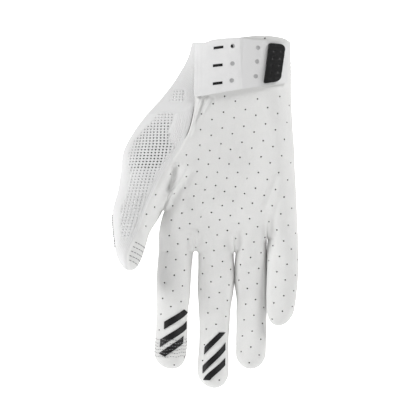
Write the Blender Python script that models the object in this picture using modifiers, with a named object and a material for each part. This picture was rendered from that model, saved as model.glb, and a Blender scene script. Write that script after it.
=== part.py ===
"""Motocross glove for a right hand, hung by its cuff with the fingers down and the palm towards -Y.

Every cloth piece is a panel of one hand form: a front and a back sheet of the same columns
and rows, closed round five digits. Metres, +Z up, origin at the middle of the cuff's mouth.
The tables hold shares of the named sizes; columns and rows may be asked for between whole ones.
"""

import math

import bmesh
import bpy
from mathutils import Vector

# Driving sizes of the form, over the cloth
PALM_LENGTH = 0.1430  # cuff's mouth to the web beside the middle finger
PALM_WIDTH = 0.0940
PALM_DEPTH = 0.0330
FINGER_WIDTH = 0.0240  # middle finger at its root
THUMB_LENGTH = 0.0395  # thumb's crotch to its tip, as seen from the palm
THUMB_WIDTH = 0.0328

# Walls and clearances
LEATHER = 0.0012
KNIT = 0.0012
RIB_KNIT = 0.0014
STRAP = 0.0018
TAB = 0.0014
GRIP = 0.0005
PIECE_GAP = 0.0005  # between a piece and the cloth it lies on
SEAM_GAP = 0.0005  # between the edges of two pieces sewn together

# Wrist strap: shares of its own length run from the thumb side to the tab
STRAP_LENGTH = 0.0595
STRAP_WIDTH = 0.0350
TAB_LENGTH = 0.0250
TAB_WIDTH = 0.0117
TAB_START = 0.77  # along the strap
TAB_CORNER = 0.0024
VENT_DIAMETER = 0.0032
STRAP_STEPS = (18, 9)
TAB_STEPS = (6, 11)

# Grip bars printed on the fingers that work the levers
BAR_STEPS = (10, 2)

# Columns of a sheet, from the thumb's side to the little finger's
KNIT_END = 5
THUMB_END = 8
LAST = 36
FINGER_COLUMNS = 6
# Rows of a sheet, from the mouth down
PANEL_ROW = 9  # the thumb's leather starts here
CROTCH_ROW = 16
WEB_ROW = 21
GUSSET_ROW = 7
GUSSET_BACK = 4  # columns of ribbed knit round the back of the thumb's side
THUMB_ROWS = 4
FINGER_ROWS = 8
TIP_TURNS = (68.0, 46.0, 26.0)  # degrees from the tip, rings of a rounded end
TIP_LINE = 0.62  # width of the closing line against the last ring

# Hand: length from the mouth in palm lengths; lines across and rounding in palm widths;
# half depths and middle in palm depths
HAND_NAMES = ("down", "thumb_edge", "knit_seam", "web_line", "palm_edge", "little_edge",
              "front", "back", "round_thumb", "round_little", "middle")
HAND = (
    (0.000, -0.346, -0.326, -0.284, -0.265, 0.356, 0.667, 0.667, 0.351, 0.351, 0.000),
    (0.091, -0.383, -0.326, -0.281, -0.262, 0.357, 0.652, 0.652, 0.362, 0.351, 0.000),
    (0.189, -0.463, -0.326, -0.279, -0.257, 0.360, 0.606, 0.621, 0.383, 0.309, 0.000),
    (0.280, -0.567, -0.328, -0.281, -0.257, 0.362, 0.576, 0.576, 0.362, 0.255, 0.000),
    (0.364, -0.681, -0.345, -0.304, -0.277, 0.366, 0.545, 0.545, 0.309, 0.213, 0.000),
    (0.448, -0.772, -0.381, -0.336, -0.315, 0.374, 0.530, 0.515, 0.266, 0.181, 0.000),
    (0.531, -0.835, -0.449, -0.368, -0.349, 0.383, 0.515, 0.500, 0.234, 0.160, 0.000),
    (0.622, -0.851, -0.540, -0.400, -0.383, 0.387, 0.500, 0.485, 0.202, 0.149, 0.000),
    (0.713, -0.872, -0.609, -0.494, -0.479, 0.395, 0.485, 0.470, 0.186, 0.138, 0.000),
    (0.808, -0.909, -0.672, -0.557, -0.547, 0.401, 0.455, 0.440, 0.174, 0.128, -0.005),
    (0.902, -0.904, -0.718, -0.638, -0.583, 0.407, 0.410, 0.400, 0.133, 0.119, -0.025),
    (1.000, -0.883, -0.798, -0.687, -0.587, 0.414, 0.350, 0.350, 0.100, 0.114, -0.055),
)

# Thumb's forward lean over the hand: length in palm lengths, forward and half depth in palm depths
LEAN_NAMES = ("down", "forward", "half")
LEAN = (
    (0.000, 0.000, 0.667),
    (0.150, 0.000, 0.610),
    (0.300, -0.080, 0.545),
    (0.450, -0.230, 0.500),
    (0.600, -0.380, 0.465),
    (0.808, -0.540, 0.420),
    (1.000, -0.680, 0.360),
)

# Thumb under its crotch: length in thumb lengths, axis and half width in palm widths,
# forward and half depth in palm depths, turn of the knit's seam in right angles
THUMB_NAMES = ("down", "axis", "half", "forward", "depth", "seam")
THUMB = (
    (0.00, -0.733, 0.175, -0.540, 0.420, 0.25),
    (0.15, -0.750, 0.159, -0.580, 0.405, 0.25),
    (0.35, -0.772, 0.131, -0.640, 0.390, 0.25),
    (0.55, -0.780, 0.112, -0.690, 0.375, 0.05),
    (0.75, -0.786, 0.100, -0.720, 0.350, -0.12),
    (1.00, -0.783, 0.092, -0.730, 0.330, -0.22),
)
THUMB_END_ROUND = 0.41  # in thumb lengths

# Fingers: name, tip and webs on both sides in palm lengths from the mouth; forward of the root
# and curl in palm depths
FINGERS = (
    ("index", 1.541, 0.998, 0.998, -0.060, 0.60),
    ("middle", 1.629, 0.998, 1.003, -0.050, 0.64),
    ("ring", 1.541, 1.003, 0.937, -0.010, 0.66),
    ("little", 1.341, 0.937, 0.937, -0.160, 0.46),
)
# Their axes in palm widths and widths in middle finger widths, over each one's length
GIRTH_NAMES = ("down", "index_axis", "index_width", "middle_axis", "middle_width",
               "ring_axis", "ring_width", "little_axis", "little_width")
GIRTH = (
    (0.00, -0.461, 0.972, -0.177, 1.000, 0.077, 0.860, 0.304, 0.847),
    (0.13, -0.472, 0.972, -0.177, 1.000, 0.077, 0.862, 0.305, 0.850),
    (0.26, -0.479, 0.972, -0.182, 1.000, 0.077, 0.864, 0.305, 0.850),
    (0.39, -0.482, 0.945, -0.186, 0.917, 0.076, 0.864, 0.302, 0.845),
    (0.52, -0.488, 0.890, -0.188, 0.861, 0.075, 0.862, 0.298, 0.832),
    (0.65, -0.490, 0.903, -0.192, 0.834, 0.074, 0.861, 0.292, 0.806),
    (0.78, -0.496, 0.917, -0.196, 0.872, 0.071, 0.861, 0.286, 0.765),
    (0.90, -0.500, 0.917, -0.198, 0.889, 0.068, 0.858, 0.275, 0.742),
    (1.00, -0.490, 0.905, -0.189, 0.875, 0.067, 0.840, 0.263, 0.730),
)
FINGER_DEPTH = (0.96, 0.90)  # of the width, at the root and at the tip
FINGER_END_ROUND = 0.0113

# Mouth's upper edge against the wrist's middle: across in palm widths, rise in palm lengths
MOUTH_NAMES = ("across", "rise")
MOUTH = ((-0.346, -0.022), (-0.263, -0.027), (-0.184, -0.008), (0.000, 0.000), (0.135, 0.010),
         (0.300, 0.000), (0.356, -0.022))

# Pads and hollows of the palm side: across in palm widths, down in palm lengths,
# reach across and down, height in palm depths
PADS = (
    (-0.340, 0.510, 0.170, 0.200, 0.110),
    (0.260, 0.420, 0.130, 0.240, 0.060),
    (-0.030, 0.620, 0.160, 0.170, -0.090),
    (-0.440, 0.900, 0.110, 0.060, 0.030),
    (-0.170, 0.890, 0.110, 0.060, 0.030),
    (0.090, 0.890, 0.110, 0.060, 0.030),
    (0.300, 0.840, 0.100, 0.060, 0.030),
)
# Folds of the palm side: start and end across and down, reach in palm widths, height in palm depths
FOLDS = (
    (-0.465, 0.595, -0.520, 0.715, 0.022, -0.085),
    (-0.395, 0.610, -0.505, 0.735, 0.020, 0.045),
    (-0.350, 0.325, -0.395, 0.440, 0.020, -0.050),
    (-0.312, 0.325, -0.365, 0.440, 0.020, 0.045),
    (-0.265, 0.325, -0.335, 0.420, 0.020, -0.040),
    (0.165, 0.800, 0.255, 0.640, 0.026, -0.030),
    (-0.300, 0.850, -0.180, 0.700, 0.040, -0.025),
    (-0.050, 0.850, -0.020, 0.720, 0.040, -0.025),
)
# Joint creases on the palm side of a finger: share of its length, reach and height in finger widths
CREASES = ((0.13, 0.11, -0.050), (0.42, 0.10, -0.045))

# Grip bars: finger, then share round its front and share of its length at the left and right ends
BARS = (
    ("index", 0.345, 0.629, 0.820, 0.505),
    ("index", 0.280, 0.780, 0.840, 0.624),
    ("index", 0.330, 0.878, 0.755, 0.748),
    ("middle", 0.300, 0.722, 0.680, 0.586),
    ("middle", 0.280, 0.861, 0.766, 0.689),
    ("middle", 0.335, 0.936, 0.760, 0.802),
)
BAR_WIDTH = 0.0041  # down the finger


def column(names, rows, name, share):
    """One column of a table at a share between its rows, on a smooth curve."""
    k = names.index(name)
    xs = [row[0] for row in rows]
    ys = [row[k] for row in rows]
    if share <= xs[0]:
        return ys[0]
    if share >= xs[-1]:
        return ys[-1]
    i = max(n for n in range(len(xs) - 1) if xs[n] <= share)

    def slope(n):
        a, b = max(n - 1, 0), min(n + 1, len(xs) - 1)
        return (ys[b] - ys[a]) / (xs[b] - xs[a])

    h = xs[i + 1] - xs[i]
    t = (share - xs[i]) / h
    near = (1 + 2 * t) * (1 - t) ** 2 * ys[i] + t * t * (3 - 2 * t) * ys[i + 1]
    return near + h * (t * (1 - t) ** 2 * slope(i) - t * t * (1 - t) * slope(i + 1))


def ease(t):
    t = min(max(t, 0.0), 1.0)
    return t * t * (3 - 2 * t)


def mix(a, b, t):
    return a + (b - a) * t


def rounded(reach):
    """Rise of a rounded edge: 0 at the edge, 1 from one radius in."""
    return math.sqrt(max(0.0, 1 - (1 - min(max(reach, 0.0), 1.0)) ** 2))


def turn(degrees):
    return math.sin(math.radians(degrees))


def hand(name, down):
    size = PALM_DEPTH if name in ("front", "back", "middle") else PALM_WIDTH
    return size * column(HAND_NAMES, HAND, name, down)


def finger_first(k):
    return THUMB_END + 1 + k * (FINGER_COLUMNS + 1)


CROTCH = 0.808  # thumb's crotch, in palm lengths
CUFF_SEAM_TURN = -71.0


def web_down(q):
    """How far the finger webs are down, over the columns."""
    left = [finger[2] for finger in FINGERS] + [FINGERS[-1][3]]
    spots = [finger_first(0)] + [finger_first(k) - 0.5 for k in range(1, 4)] + [LAST]
    rows = tuple(zip(spots, left))
    return column(("q", "down"), rows, "down", q)


def thumb_share(q, seam=0.25):
    """Turn in degrees of a thumb column round its section."""
    at = 90 * seam
    if q <= KNIT_END:
        return mix(-90, at, q / KNIT_END)
    return mix(at, 90, (q - KNIT_END) / (THUMB_END - KNIT_END))


def girth(k, what, share):
    return column(GIRTH_NAMES, GIRTH, "%s_%s" % (FINGERS[k][0], what), share)


def web_spots():
    """Places of the finger columns across the knuckle row, as (column, x)."""
    spots = []
    for k, finger in enumerate(FINGERS):
        half = FINGER_WIDTH * girth(k, "width", 0) / 2
        for c in range(FINGER_COLUMNS + 1):
            spots.append((finger_first(k) + c,
                          PALM_WIDTH * girth(k, "axis", 0) + half * turn(-90 + 30 * c)))
    return spots


WEB_SPOTS = web_spots()


def across(q, down):
    """X of a column of the hand at a share of its length."""
    seam, web = hand("knit_seam", down), hand("web_line", down)
    if q <= KNIT_END:
        edge = hand("thumb_edge", down)
        return edge + (seam - edge) * (1 + turn(thumb_share(q))) / (1 + turn(22.5))
    if q <= THUMB_END:
        v = (q - KNIT_END) / (THUMB_END - KNIT_END)
        bunched = (turn(thumb_share(q)) - turn(22.5)) / (1 - turn(22.5))
        return mix(seam, web, mix(v, bunched, ease((down - 0.6) / 0.2)))
    first, last = hand("palm_edge", down), hand("little_edge", down)
    if q <= THUMB_END + 1:
        return mix(web, first, q - THUMB_END)
    step = (90 - CUFF_SEAM_TURN) / (LAST - KNIT_END)
    start = turn(CUFF_SEAM_TURN + step * (THUMB_END + 1 - KNIT_END))
    at_cuff = (turn(CUFF_SEAM_TURN + step * (q - KNIT_END)) - start) / (1 - start)
    i = min(int(q) - WEB_SPOTS[0][0], len(WEB_SPOTS) - 2)
    spot = mix(WEB_SPOTS[i][1], WEB_SPOTS[i + 1][1], q - WEB_SPOTS[i][0])
    at_web = (spot - WEB_SPOTS[0][1]) / (WEB_SPOTS[-1][1] - WEB_SPOTS[0][1])
    return mix(first, last, mix(at_cuff, at_web, ease((down - 0.1) / 0.75)))


def lean(name, down):
    return PALM_DEPTH * column(LEAN_NAMES, LEAN, name, down)


def thumb_part(x, down):
    """How much of the thumb's lean a spot of the hand takes: 1 on the thumb, 0 on the palm."""
    at = min(down, CROTCH)
    axis = hand("thumb_edge", at) + 0.5 * hand("round_thumb", at)
    far = hand("web_line", at) + 0.020
    return 1 - ease((x - axis) / (far - axis))


def relief(x, z, side):
    """Pads and folds of the palm side, as a rise along the depth."""
    if side > 0:
        return 0.0
    a, d = x / PALM_WIDTH, -z / PALM_LENGTH
    rise = 0.0
    for pa, pd, ra, rd, high in PADS:
        rise += high * math.exp(-((a - pa) / ra) ** 2 - ((d - pd) / rd) ** 2)
    px, pz = x, -z
    for a0, d0, a1, d1, reach, high in FOLDS:
        x0, z0, x1, z1 = a0 * PALM_WIDTH, d0 * PALM_LENGTH, a1 * PALM_WIDTH, d1 * PALM_LENGTH
        ex, ez = x1 - x0, z1 - z0
        length = math.hypot(ex, ez)
        t = ((px - x0) * ex + (pz - z0) * ez) / length ** 2
        off = ((px - x0) * ez - (pz - z0) * ex) / length
        taper = ease(t / 0.25 + 0.5) * ease((1 - t) / 0.25 + 0.5)
        rise += high * taper * math.exp(-(off / (reach * PALM_WIDTH)) ** 2)
    return PALM_DEPTH * rise


def hand_spot(q, t, side):
    """Point of the hand's sheet: column q, row t, side -1 for the palm and 1 for the back."""
    if t <= CROTCH_ROW:
        down = CROTCH * t / CROTCH_ROW
    else:
        down = mix(CROTCH, web_down(q), (t - CROTCH_ROW) / (WEB_ROW - CROTCH_ROW))
    x = across(q, down)
    z = -PALM_LENGTH * down
    left, right = hand("thumb_edge", down), hand("little_edge", down)
    if down > CROTCH:
        left = hand("palm_edge", down)
    part = thumb_part(x, down)
    half = hand("front" if side < 0 else "back", down)
    middle = hand("middle", down)
    if down <= CROTCH:
        half = mix(half, lean("half", down), part)
        middle = mix(middle, lean("forward", down), part)
        rise = rounded((x - left) / hand("round_thumb", down))
    else:
        fade = 1 - ease((down - CROTCH) / (1 - CROTCH))
        middle = mix(middle, lean("forward", CROTCH), part * fade)
        half = mix(half, lean("half", CROTCH), part * fade)
        rise = 1.0
    rise *= rounded((right - x) / hand("round_little", down))
    # Thumb's crotch and the finger webs: the sheet fills the space between digits above them
    if q <= THUMB_END or q >= THUMB_END + 1:
        reach = (PALM_LENGTH * (CROTCH - down)) / (0.026 if side < 0 else 0.016)
        fill = rounded(reach)
        if q <= THUMB_END:
            gap = (hand("web_line", down) - x) / (0.5 * THUMB_WIDTH)
        else:
            gap = (x - hand("palm_edge", down)) / 0.0115
        rise *= 1 - (1 - rounded(gap)) * (1 - fill)
    for k in range(1, 4):
        a, b = finger_first(k) - 1, finger_first(k)
        fill = rounded(PALM_LENGTH * (web_down(q) - down) / 0.013)
        if a - FINGER_COLUMNS <= q <= b + FINGER_COLUMNS:
            gap = 0.0
            if q < a:
                gap = (across(a, down) - x) / (0.5 * FINGER_WIDTH * girth(k - 1, "width", 0))
            if q > b:
                gap = (x - across(b, down)) / (0.5 * FINGER_WIDTH * girth(k, "width", 0))
            rise *= 1 - (1 - rounded(gap)) * (1 - fill)
    if THUMB_END < q < THUMB_END + 1:
        rise *= rounded((PALM_LENGTH * (CROTCH - down)) / (0.026 if side < 0 else 0.016))
    y = middle + side * rise * (half + relief(x, z, side))
    lift = PALM_LENGTH * column(MOUTH_NAMES, MOUTH, "rise", x / PALM_WIDTH)
    edge = mix(1.0, 0.35, 0.5 + 0.5 * side * rise)
    return Vector((x, y, z + lift * edge * max(0.0, 1 - t / 3)))


def digit_rows(k):
    return (THUMB_ROWS if k < 0 else FINGER_ROWS) + len(TIP_TURNS)


def digit_down(k, i, full, end):
    """Distance from the root to row i of a digit, and the shrink of its section there."""
    body = THUMB_ROWS if k < 0 else FINGER_ROWS
    if i <= body:
        return (full - end) * i / body, 1.0
    turns = (90.0,) + TIP_TURNS + (0.0,)
    j = min(int(i - body), len(turns) - 2)
    angle = mix(turns[j], turns[j + 1], i - body - j)
    return full - end * (1 - math.cos(math.radians(angle))), turn(angle)


def thumb_spot(q, i, side):
    """Point of the thumb under its crotch: column q of the hand, row i from the crotch."""
    end = THUMB_END_ROUND * THUMB_LENGTH
    down, shrink = digit_down(-1, i, THUMB_LENGTH, end)
    share = down / THUMB_LENGTH
    values = [column(THUMB_NAMES, THUMB, name, share) for name in THUMB_NAMES[1:]]
    axis, half, forward, depth, seam = values
    angle = thumb_share(q, seam)
    x = PALM_WIDTH * (axis + half * shrink * turn(angle))
    part = thumb_part(across(q, CROTCH), CROTCH)
    own = PALM_DEPTH * forward
    middle = mix(own, lean("forward", CROTCH) * part, 1 - ease(share / 0.5))
    at_root = mix(hand("front" if side < 0 else "back", CROTCH), lean("half", CROTCH), part)
    deep = mix(at_root, PALM_DEPTH * depth, ease(share / 0.4))
    y = middle + side * deep * shrink * abs(turn(90 - abs(angle)))
    return Vector((x, y, -PALM_LENGTH * CROTCH - down))


def finger_spot(k, q, i, side):
    """Point of finger k: column q of the hand, row i from the web."""
    name, reach, _, _, forward, curl = FINGERS[k]
    web = web_down(q)
    full = PALM_LENGTH * (reach - web)
    down, shrink = digit_down(k, i, full, FINGER_END_ROUND)
    share = down / full
    angle = -90 + 180 * (q - finger_first(k)) / FINGER_COLUMNS
    half = 0.5 * FINGER_WIDTH * girth(k, "width", share)
    x = PALM_WIDTH * girth(k, "axis", share) + half * shrink * turn(angle)
    at_root = hand("front" if side < 0 else "back", web)
    deep = mix(at_root, half * mix(*FINGER_DEPTH, share), ease(share / 0.35))
    fade = 1 - ease((web - CROTCH) / (1 - CROTCH))
    part = thumb_part(across(q, web), web) * fade
    base = mix(hand("middle", web), lean("forward", CROTCH), part)
    middle = mix(base, PALM_DEPTH * forward, ease(share / 0.30))
    middle -= PALM_DEPTH * curl * share ** 1.6
    rise = 0.0
    if side < 0:
        for at, wide, high in CREASES:
            apart = (share - at) * full / (wide * FINGER_WIDTH)
            rise += FINGER_WIDTH * high * math.exp(-apart ** 2) * turn(90 - abs(angle)) ** 2
    y = middle + side * (deep + rise) * shrink * abs(turn(90 - abs(angle)))
    return Vector((x, y, -PALM_LENGTH * web - down))


def tip_spot(k, q):
    """Point of the line that closes a digit's end."""
    spot = thumb_spot if k < 0 else (lambda *a: finger_spot(k, *a))
    rows = digit_rows(k)
    front, back = spot(q, rows, -1), spot(q, rows, 1)
    first, last = (0, THUMB_END) if k < 0 else (finger_first(k), finger_first(k) + FINGER_COLUMNS)
    ends = (spot(first, rows, -1), spot(last, rows, -1))
    middle = (ends[0] + ends[1]) / 2
    low = spot((first + last) / 2, rows + 1, -1)
    x = mix(middle.x, (front.x + back.x) / 2, TIP_LINE)
    reach = abs(x - middle.x) / max(1e-6, (ends[1].x - ends[0].x) / 2)
    drop = middle.z - low.z
    return Vector((x, low.y, low.z + drop * (1 - math.sqrt(1 - reach ** 2)) * 0.9))


def key(part, side, q, t):
    """Name of a sheet's vertex; the two sides share it along the outline and the webs."""
    if part == "hand":
        webs = [c for k in range(1, 4) for c in (finger_first(k) - 1, finger_first(k))]
        shared = q in (0, LAST) or (t == WEB_ROW and q in webs)
        shared = shared or (t >= CROTCH_ROW and q == THUMB_END + 1)
        shared = shared or (t == CROTCH_ROW and q == THUMB_END)
        return (part, 0 if shared else side, q, t)
    first, last = (0, THUMB_END) if part < 0 else (finger_first(part), finger_first(part) + 6)
    if t == 0:
        return key("hand", side, q, CROTCH_ROW if part < 0 else WEB_ROW)
    if t > digit_rows(part):
        q = min(max(q, first + 1), last - 1)
        return (part, 0, q, t)
    return (part, 0 if q in (first, last) else side, q, t)


def spot_of(name):
    part, side, q, t = name
    side = side or -1
    if part == "hand":
        return hand_spot(q, t, side)
    if t > digit_rows(part):
        return tip_spot(part, q)
    return thumb_spot(q, t, side) if part < 0 else finger_spot(part, q, t, side)


def owner(part, side, q, t):
    """Name of the piece that a face belongs to."""
    on_hand = part == "hand"
    if side > 0:
        return "wrist_gusset" if on_hand and q < GUSSET_BACK and t < GUSSET_ROW else "back_panel"
    if q < KNIT_END and (on_hand or part < 0):
        return "wrist_gusset" if on_hand and t < GUSSET_ROW else "back_panel"
    if q < THUMB_END and (part == -1 or (on_hand and t >= PANEL_ROW)):
        return "thumb_panel"
    return "palm_panel"


def form_faces():
    """All faces of the form, as (piece, names of the corners) facing outwards."""
    faces = []
    blocks = [("hand", 0, LAST, 0, CROTCH_ROW), ("hand", THUMB_END + 1, LAST, CROTCH_ROW, WEB_ROW)]
    blocks.append((-1, 0, THUMB_END, 0, digit_rows(-1) + 1))
    for k in range(4):
        first = finger_first(k)
        blocks.append((k, first, first + FINGER_COLUMNS, 0, digit_rows(k) + 1))
    for part, q0, q1, t0, t1 in blocks:
        for side in (-1, 1):
            for t in range(t0, t1):
                for q in range(q0, q1):
                    ring = [key(part, side, a, b) for a, b in
                            ((q, t), (q, t + 1), (q + 1, t + 1), (q + 1, t))]
                    ring = [n for i, n in enumerate(ring) if n != ring[i - 1]]
                    if side > 0:
                        ring.reverse()
                    faces.append((owner(part, side, q, t), ring))
    return faces


def form_normals(faces, spots):
    normals = {name: Vector() for name in spots}
    for _, ring in faces:
        points = [spots[name] for name in ring]
        normal = Vector()
        for a, b in zip(points, points[1:] + points[:1]):
            normal += a.cross(b)
        for name in ring:
            normals[name] += normal
    return {name: normal.normalized() for name, normal in normals.items()}


def cloth_mesh(faces, spots, normals, wall):
    """Closed sheet of one piece: its faces, the same faces one wall in, and the rims between."""
    bm = bmesh.new()
    toward = {}
    sides = {}
    for ring in faces:
        middle = sum((spots[name] for name in ring), Vector()) / len(ring)
        for name in ring:
            away = middle - spots[name]
            away -= away.dot(normals[name]) * normals[name]
            toward[name] = toward.get(name, Vector()) + away.normalized()
        for a, b in zip(ring, ring[1:] + ring[:1]):
            sides[(a, b)] = True
    rims = [(a, b) for a, b in sides if (b, a) not in sides]
    on_rim = {name for pair in rims for name in pair}
    outer, inner = {}, {}
    for name in toward:
        spot = spots[name].copy()
        if name in on_rim and not (name[0] == "hand" and name[3] == 0 and len(
                [pair for pair in rims if name in pair and pair[0][3] + pair[1][3] > 0]) == 0):
            spot += toward[name].normalized() * SEAM_GAP * 0.55
        outer[name] = bm.verts.new(spot)
        inner[name] = bm.verts.new(spot - normals[name] * wall)
    for ring in faces:
        bm.faces.new([outer[name] for name in ring])
        bm.faces.new([inner[name] for name in reversed(ring)])
    for a, b in rims:
        bm.faces.new((outer[b], outer[a], inner[a], inner[b]))
    return bm


def piece_from(bm, name, home, material):
    mesh = bpy.data.meshes.new(name)
    bm.to_mesh(mesh)
    bm.free()
    mesh.materials.append(material)
    piece = bpy.data.objects.new(name, mesh)
    home.objects.link(piece)
    return piece


def laid(name, frame_at, steps, under, wall, home, look):
    """Slab that lies on the cloth: a grid bent to the form, held off it, with a wall outwards."""
    bm = bmesh.new()
    bmesh.ops.create_grid(bm, x_segments=steps[0], y_segments=steps[1], size=1.0)
    for vert in bm.verts:
        spot, normal = frame_at((vert.co.x + 1) / 2, (1 - vert.co.y) / 2)
        vert.co = spot + normal * under
    piece = piece_from(bm, name, home, look)
    thicken = piece.modifiers.new("wall", "SOLIDIFY")
    thicken.thickness = wall
    thicken.offset = 1.0
    return piece


def material(name, colour, roughness):
    made = bpy.data.materials.new(name)
    made.use_nodes = True
    shader = made.node_tree.nodes["Principled BSDF"]
    shader.inputs["Base Color"].default_value = (*colour, 1.0)
    shader.inputs["Roughness"].default_value = roughness
    made.diffuse_color = (*colour, 1.0)
    return made


def front_at(x, z):
    """Column and row of the palm side's sheet at a place of the cuff, found by halving."""
    t = -z / (PALM_LENGTH * CROTCH) * CROTCH_ROW
    for _ in range(3):
        low, high = 0.0, float(LAST)
        for _ in range(24):
            q = (low + high) / 2
            low, high = (q, high) if hand_spot(q, t, -1).x < x else (low, q)
        t += (hand_spot(q, t, -1).z - z) / (PALM_LENGTH * CROTCH) * CROTCH_ROW
        t = max(t, 0.02)
    return q, t


def sheet_frame(spot, q, t, step=0.25):
    """Point and outward normal of the palm side at a column and row."""
    ahead, behind = spot(q + step, t, -1), spot(q - step, t, -1)
    below, above = spot(q, t + step, -1), spot(q, max(t - step, 0.0), -1)
    return spot(q, t, -1), (below - above).cross(ahead - behind).normalized()


# Outline of the strap on the cuff: share of its length, top and bottom from the mouth in strap widths
STRAP_NAMES = ("along", "top", "bottom")
STRAP_EDGE = (
    (0.00, 0.120, 1.130),
    (0.10, 0.125, 1.120),
    (0.25, 0.120, 1.060),
    (0.50, 0.100, 0.965),
    (0.75, 0.085, 0.925),
    (1.00, 0.100, 0.860),
)
STRAP_START = -0.0285
STRAP_LEAN = 0.055  # the lines down the strap run this much to the thumb's side
# Vents of the strap, at shares of its length and width
VENTS = ((0.40, 0.07), (0.40, 0.46), (0.40, 0.85), (0.675, 0.10), (0.675, 0.46), (0.66, 0.80))


def strap_place(along, over):
    x = STRAP_START + STRAP_LENGTH * along - STRAP_LEAN * STRAP_WIDTH * over
    top = column(STRAP_NAMES, STRAP_EDGE, "top", along)
    bottom = column(STRAP_NAMES, STRAP_EDGE, "bottom", along)
    return x, -STRAP_WIDTH * mix(top, bottom, over)


def strap_frame(along, over):
    return sheet_frame(hand_spot, *front_at(*strap_place(along, over)))


def tab_frame(u, v):
    """Frame of the tab's grid, whose corner cells are drawn in to round corners."""
    place, near = [], []
    for at, size, steps in ((u, TAB_WIDTH, TAB_STEPS[0]), (v, TAB_LENGTH, TAB_STEPS[1])):
        n = round(at * steps)
        inner = size / 2 - TAB_CORNER
        near.append(-1 if n == 0 else 1 if n == steps else 0)
        place.append(mix(-inner, inner, min(max((n - 1) / (steps - 2), 0), 1)) + size / 2)
    pull = math.sqrt(0.5) if near[0] and near[1] else 1.0
    a, b = (at + side * TAB_CORNER * pull for at, side in zip(place, near))
    return strap_frame(TAB_START + a / STRAP_LENGTH, 0.06 + b / (0.78 * STRAP_WIDTH))


def bar_frame(k, ends, u, v):
    """Frame of a grip bar on finger k, along and down it."""
    full = PALM_LENGTH * (FINGERS[k][1] - web_down(finger_first(k)))
    round_front, down = mix(ends[0], ends[2], u), mix(ends[1], ends[3], u)
    share = down + (v - 0.5) * BAR_WIDTH / full
    q = finger_first(k) + FINGER_COLUMNS * round_front
    return sheet_frame(lambda *at: finger_spot(k, *at), q, row_at(k, share, full))


def drill(piece, cutter_home, at, normal, diameter, depth, name):
    mesh = bpy.data.meshes.new(name)
    bm = bmesh.new()
    bmesh.ops.create_cone(bm, cap_ends=True, segments=16, radius1=diameter / 2,
                          radius2=diameter / 2, depth=depth)
    bm.to_mesh(mesh)
    bm.free()
    cutter = bpy.data.objects.new(name, mesh)
    cutter.rotation_euler = normal.to_track_quat("Z", "Y").to_euler()
    cutter.location = at
    cutter.hide_render = True
    cutter.display_type = "WIRE"
    cutter_home.objects.link(cutter)
    cut = piece.modifiers.new(name, "BOOLEAN")
    cut.object = cutter
    cut.solver = "EXACT"
    cut.operation = "DIFFERENCE"


def build():
    for old in list(bpy.data.objects):
        bpy.data.objects.remove(old, do_unlink=True)
    home = bpy.data.collections.new("motocross_glove")
    cutters = bpy.data.collections.new("cutters")
    for made in (home, cutters):
        bpy.context.scene.collection.children.link(made)

    leather = material("white_leather", (0.80, 0.80, 0.79), 0.75)
    knit = material("white_knit", (0.84, 0.85, 0.86), 0.85)
    rib = material("rib_knit", (0.76, 0.77, 0.78), 0.88)
    suede = material("thumb_leather", (0.78, 0.78, 0.77), 0.75)
    strap_cloth = material("strap_fabric", (0.83, 0.83, 0.83), 0.70)
    rubber = material("black_rubber", (0.025, 0.025, 0.027), 0.45)
    silicone = material("black_silicone", (0.035, 0.035, 0.038), 0.40)

    faces = form_faces()
    spots = {name: spot_of(name) for _, ring in faces for name in ring}
    normals = form_normals(faces, spots)
    cloth = (("palm_panel", LEATHER, leather), ("back_panel", KNIT, knit),
             ("thumb_panel", LEATHER, suede), ("wrist_gusset", RIB_KNIT, rib))
    for name, wall, look in cloth:
        own = [ring for piece, ring in faces if piece == name]
        piece_from(cloth_mesh(own, spots, normals, wall), name, home, look)

    strap = laid("wrist_strap", strap_frame, STRAP_STEPS, PIECE_GAP, STRAP, home, strap_cloth)
    for n, vent in enumerate(VENTS):
        spot, normal = strap_frame(*vent)
        drill(strap, cutters, spot + normal * (PIECE_GAP + STRAP / 2), normal, VENT_DIAMETER,
              2.2 * STRAP, "vent_%d" % (n + 1))
    laid("pull_tab", tab_frame, TAB_STEPS, 2 * PIECE_GAP + STRAP, TAB, home, rubber)

    names = [finger[0] for finger in FINGERS]
    counts = dict.fromkeys(names, 0)
    for finger, *ends in BARS:
        counts[finger] += 1
        k = names.index(finger)
        laid("%s_grip_%d" % (finger, counts[finger]), lambda u, v: bar_frame(k, ends, u, v),
             BAR_STEPS, PIECE_GAP, GRIP, home, silicone)
    for piece in home.objects:
        piece.data.shade_smooth()


def row_at(k, share, full):
    """Row of a finger at a share of its length."""
    low, high = 0.0, float(digit_rows(k) + 1)
    for _ in range(24):
        i = (low + high) / 2
        low, high = (i, high) if digit_down(k, i, full, FINGER_END_ROUND)[0] / full < share else (low, i)
    return i


build()
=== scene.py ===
"""Motocross glove: leather palm, knit mesh back, cuff, strap, grip bars and stitching on the CAD form."""

import bisect
import math

import bmesh
import bpy
from mathutils import Matrix, Vector
from mathutils.bvhtree import BVHTree
from mathutils.kdtree import KDTree


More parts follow.
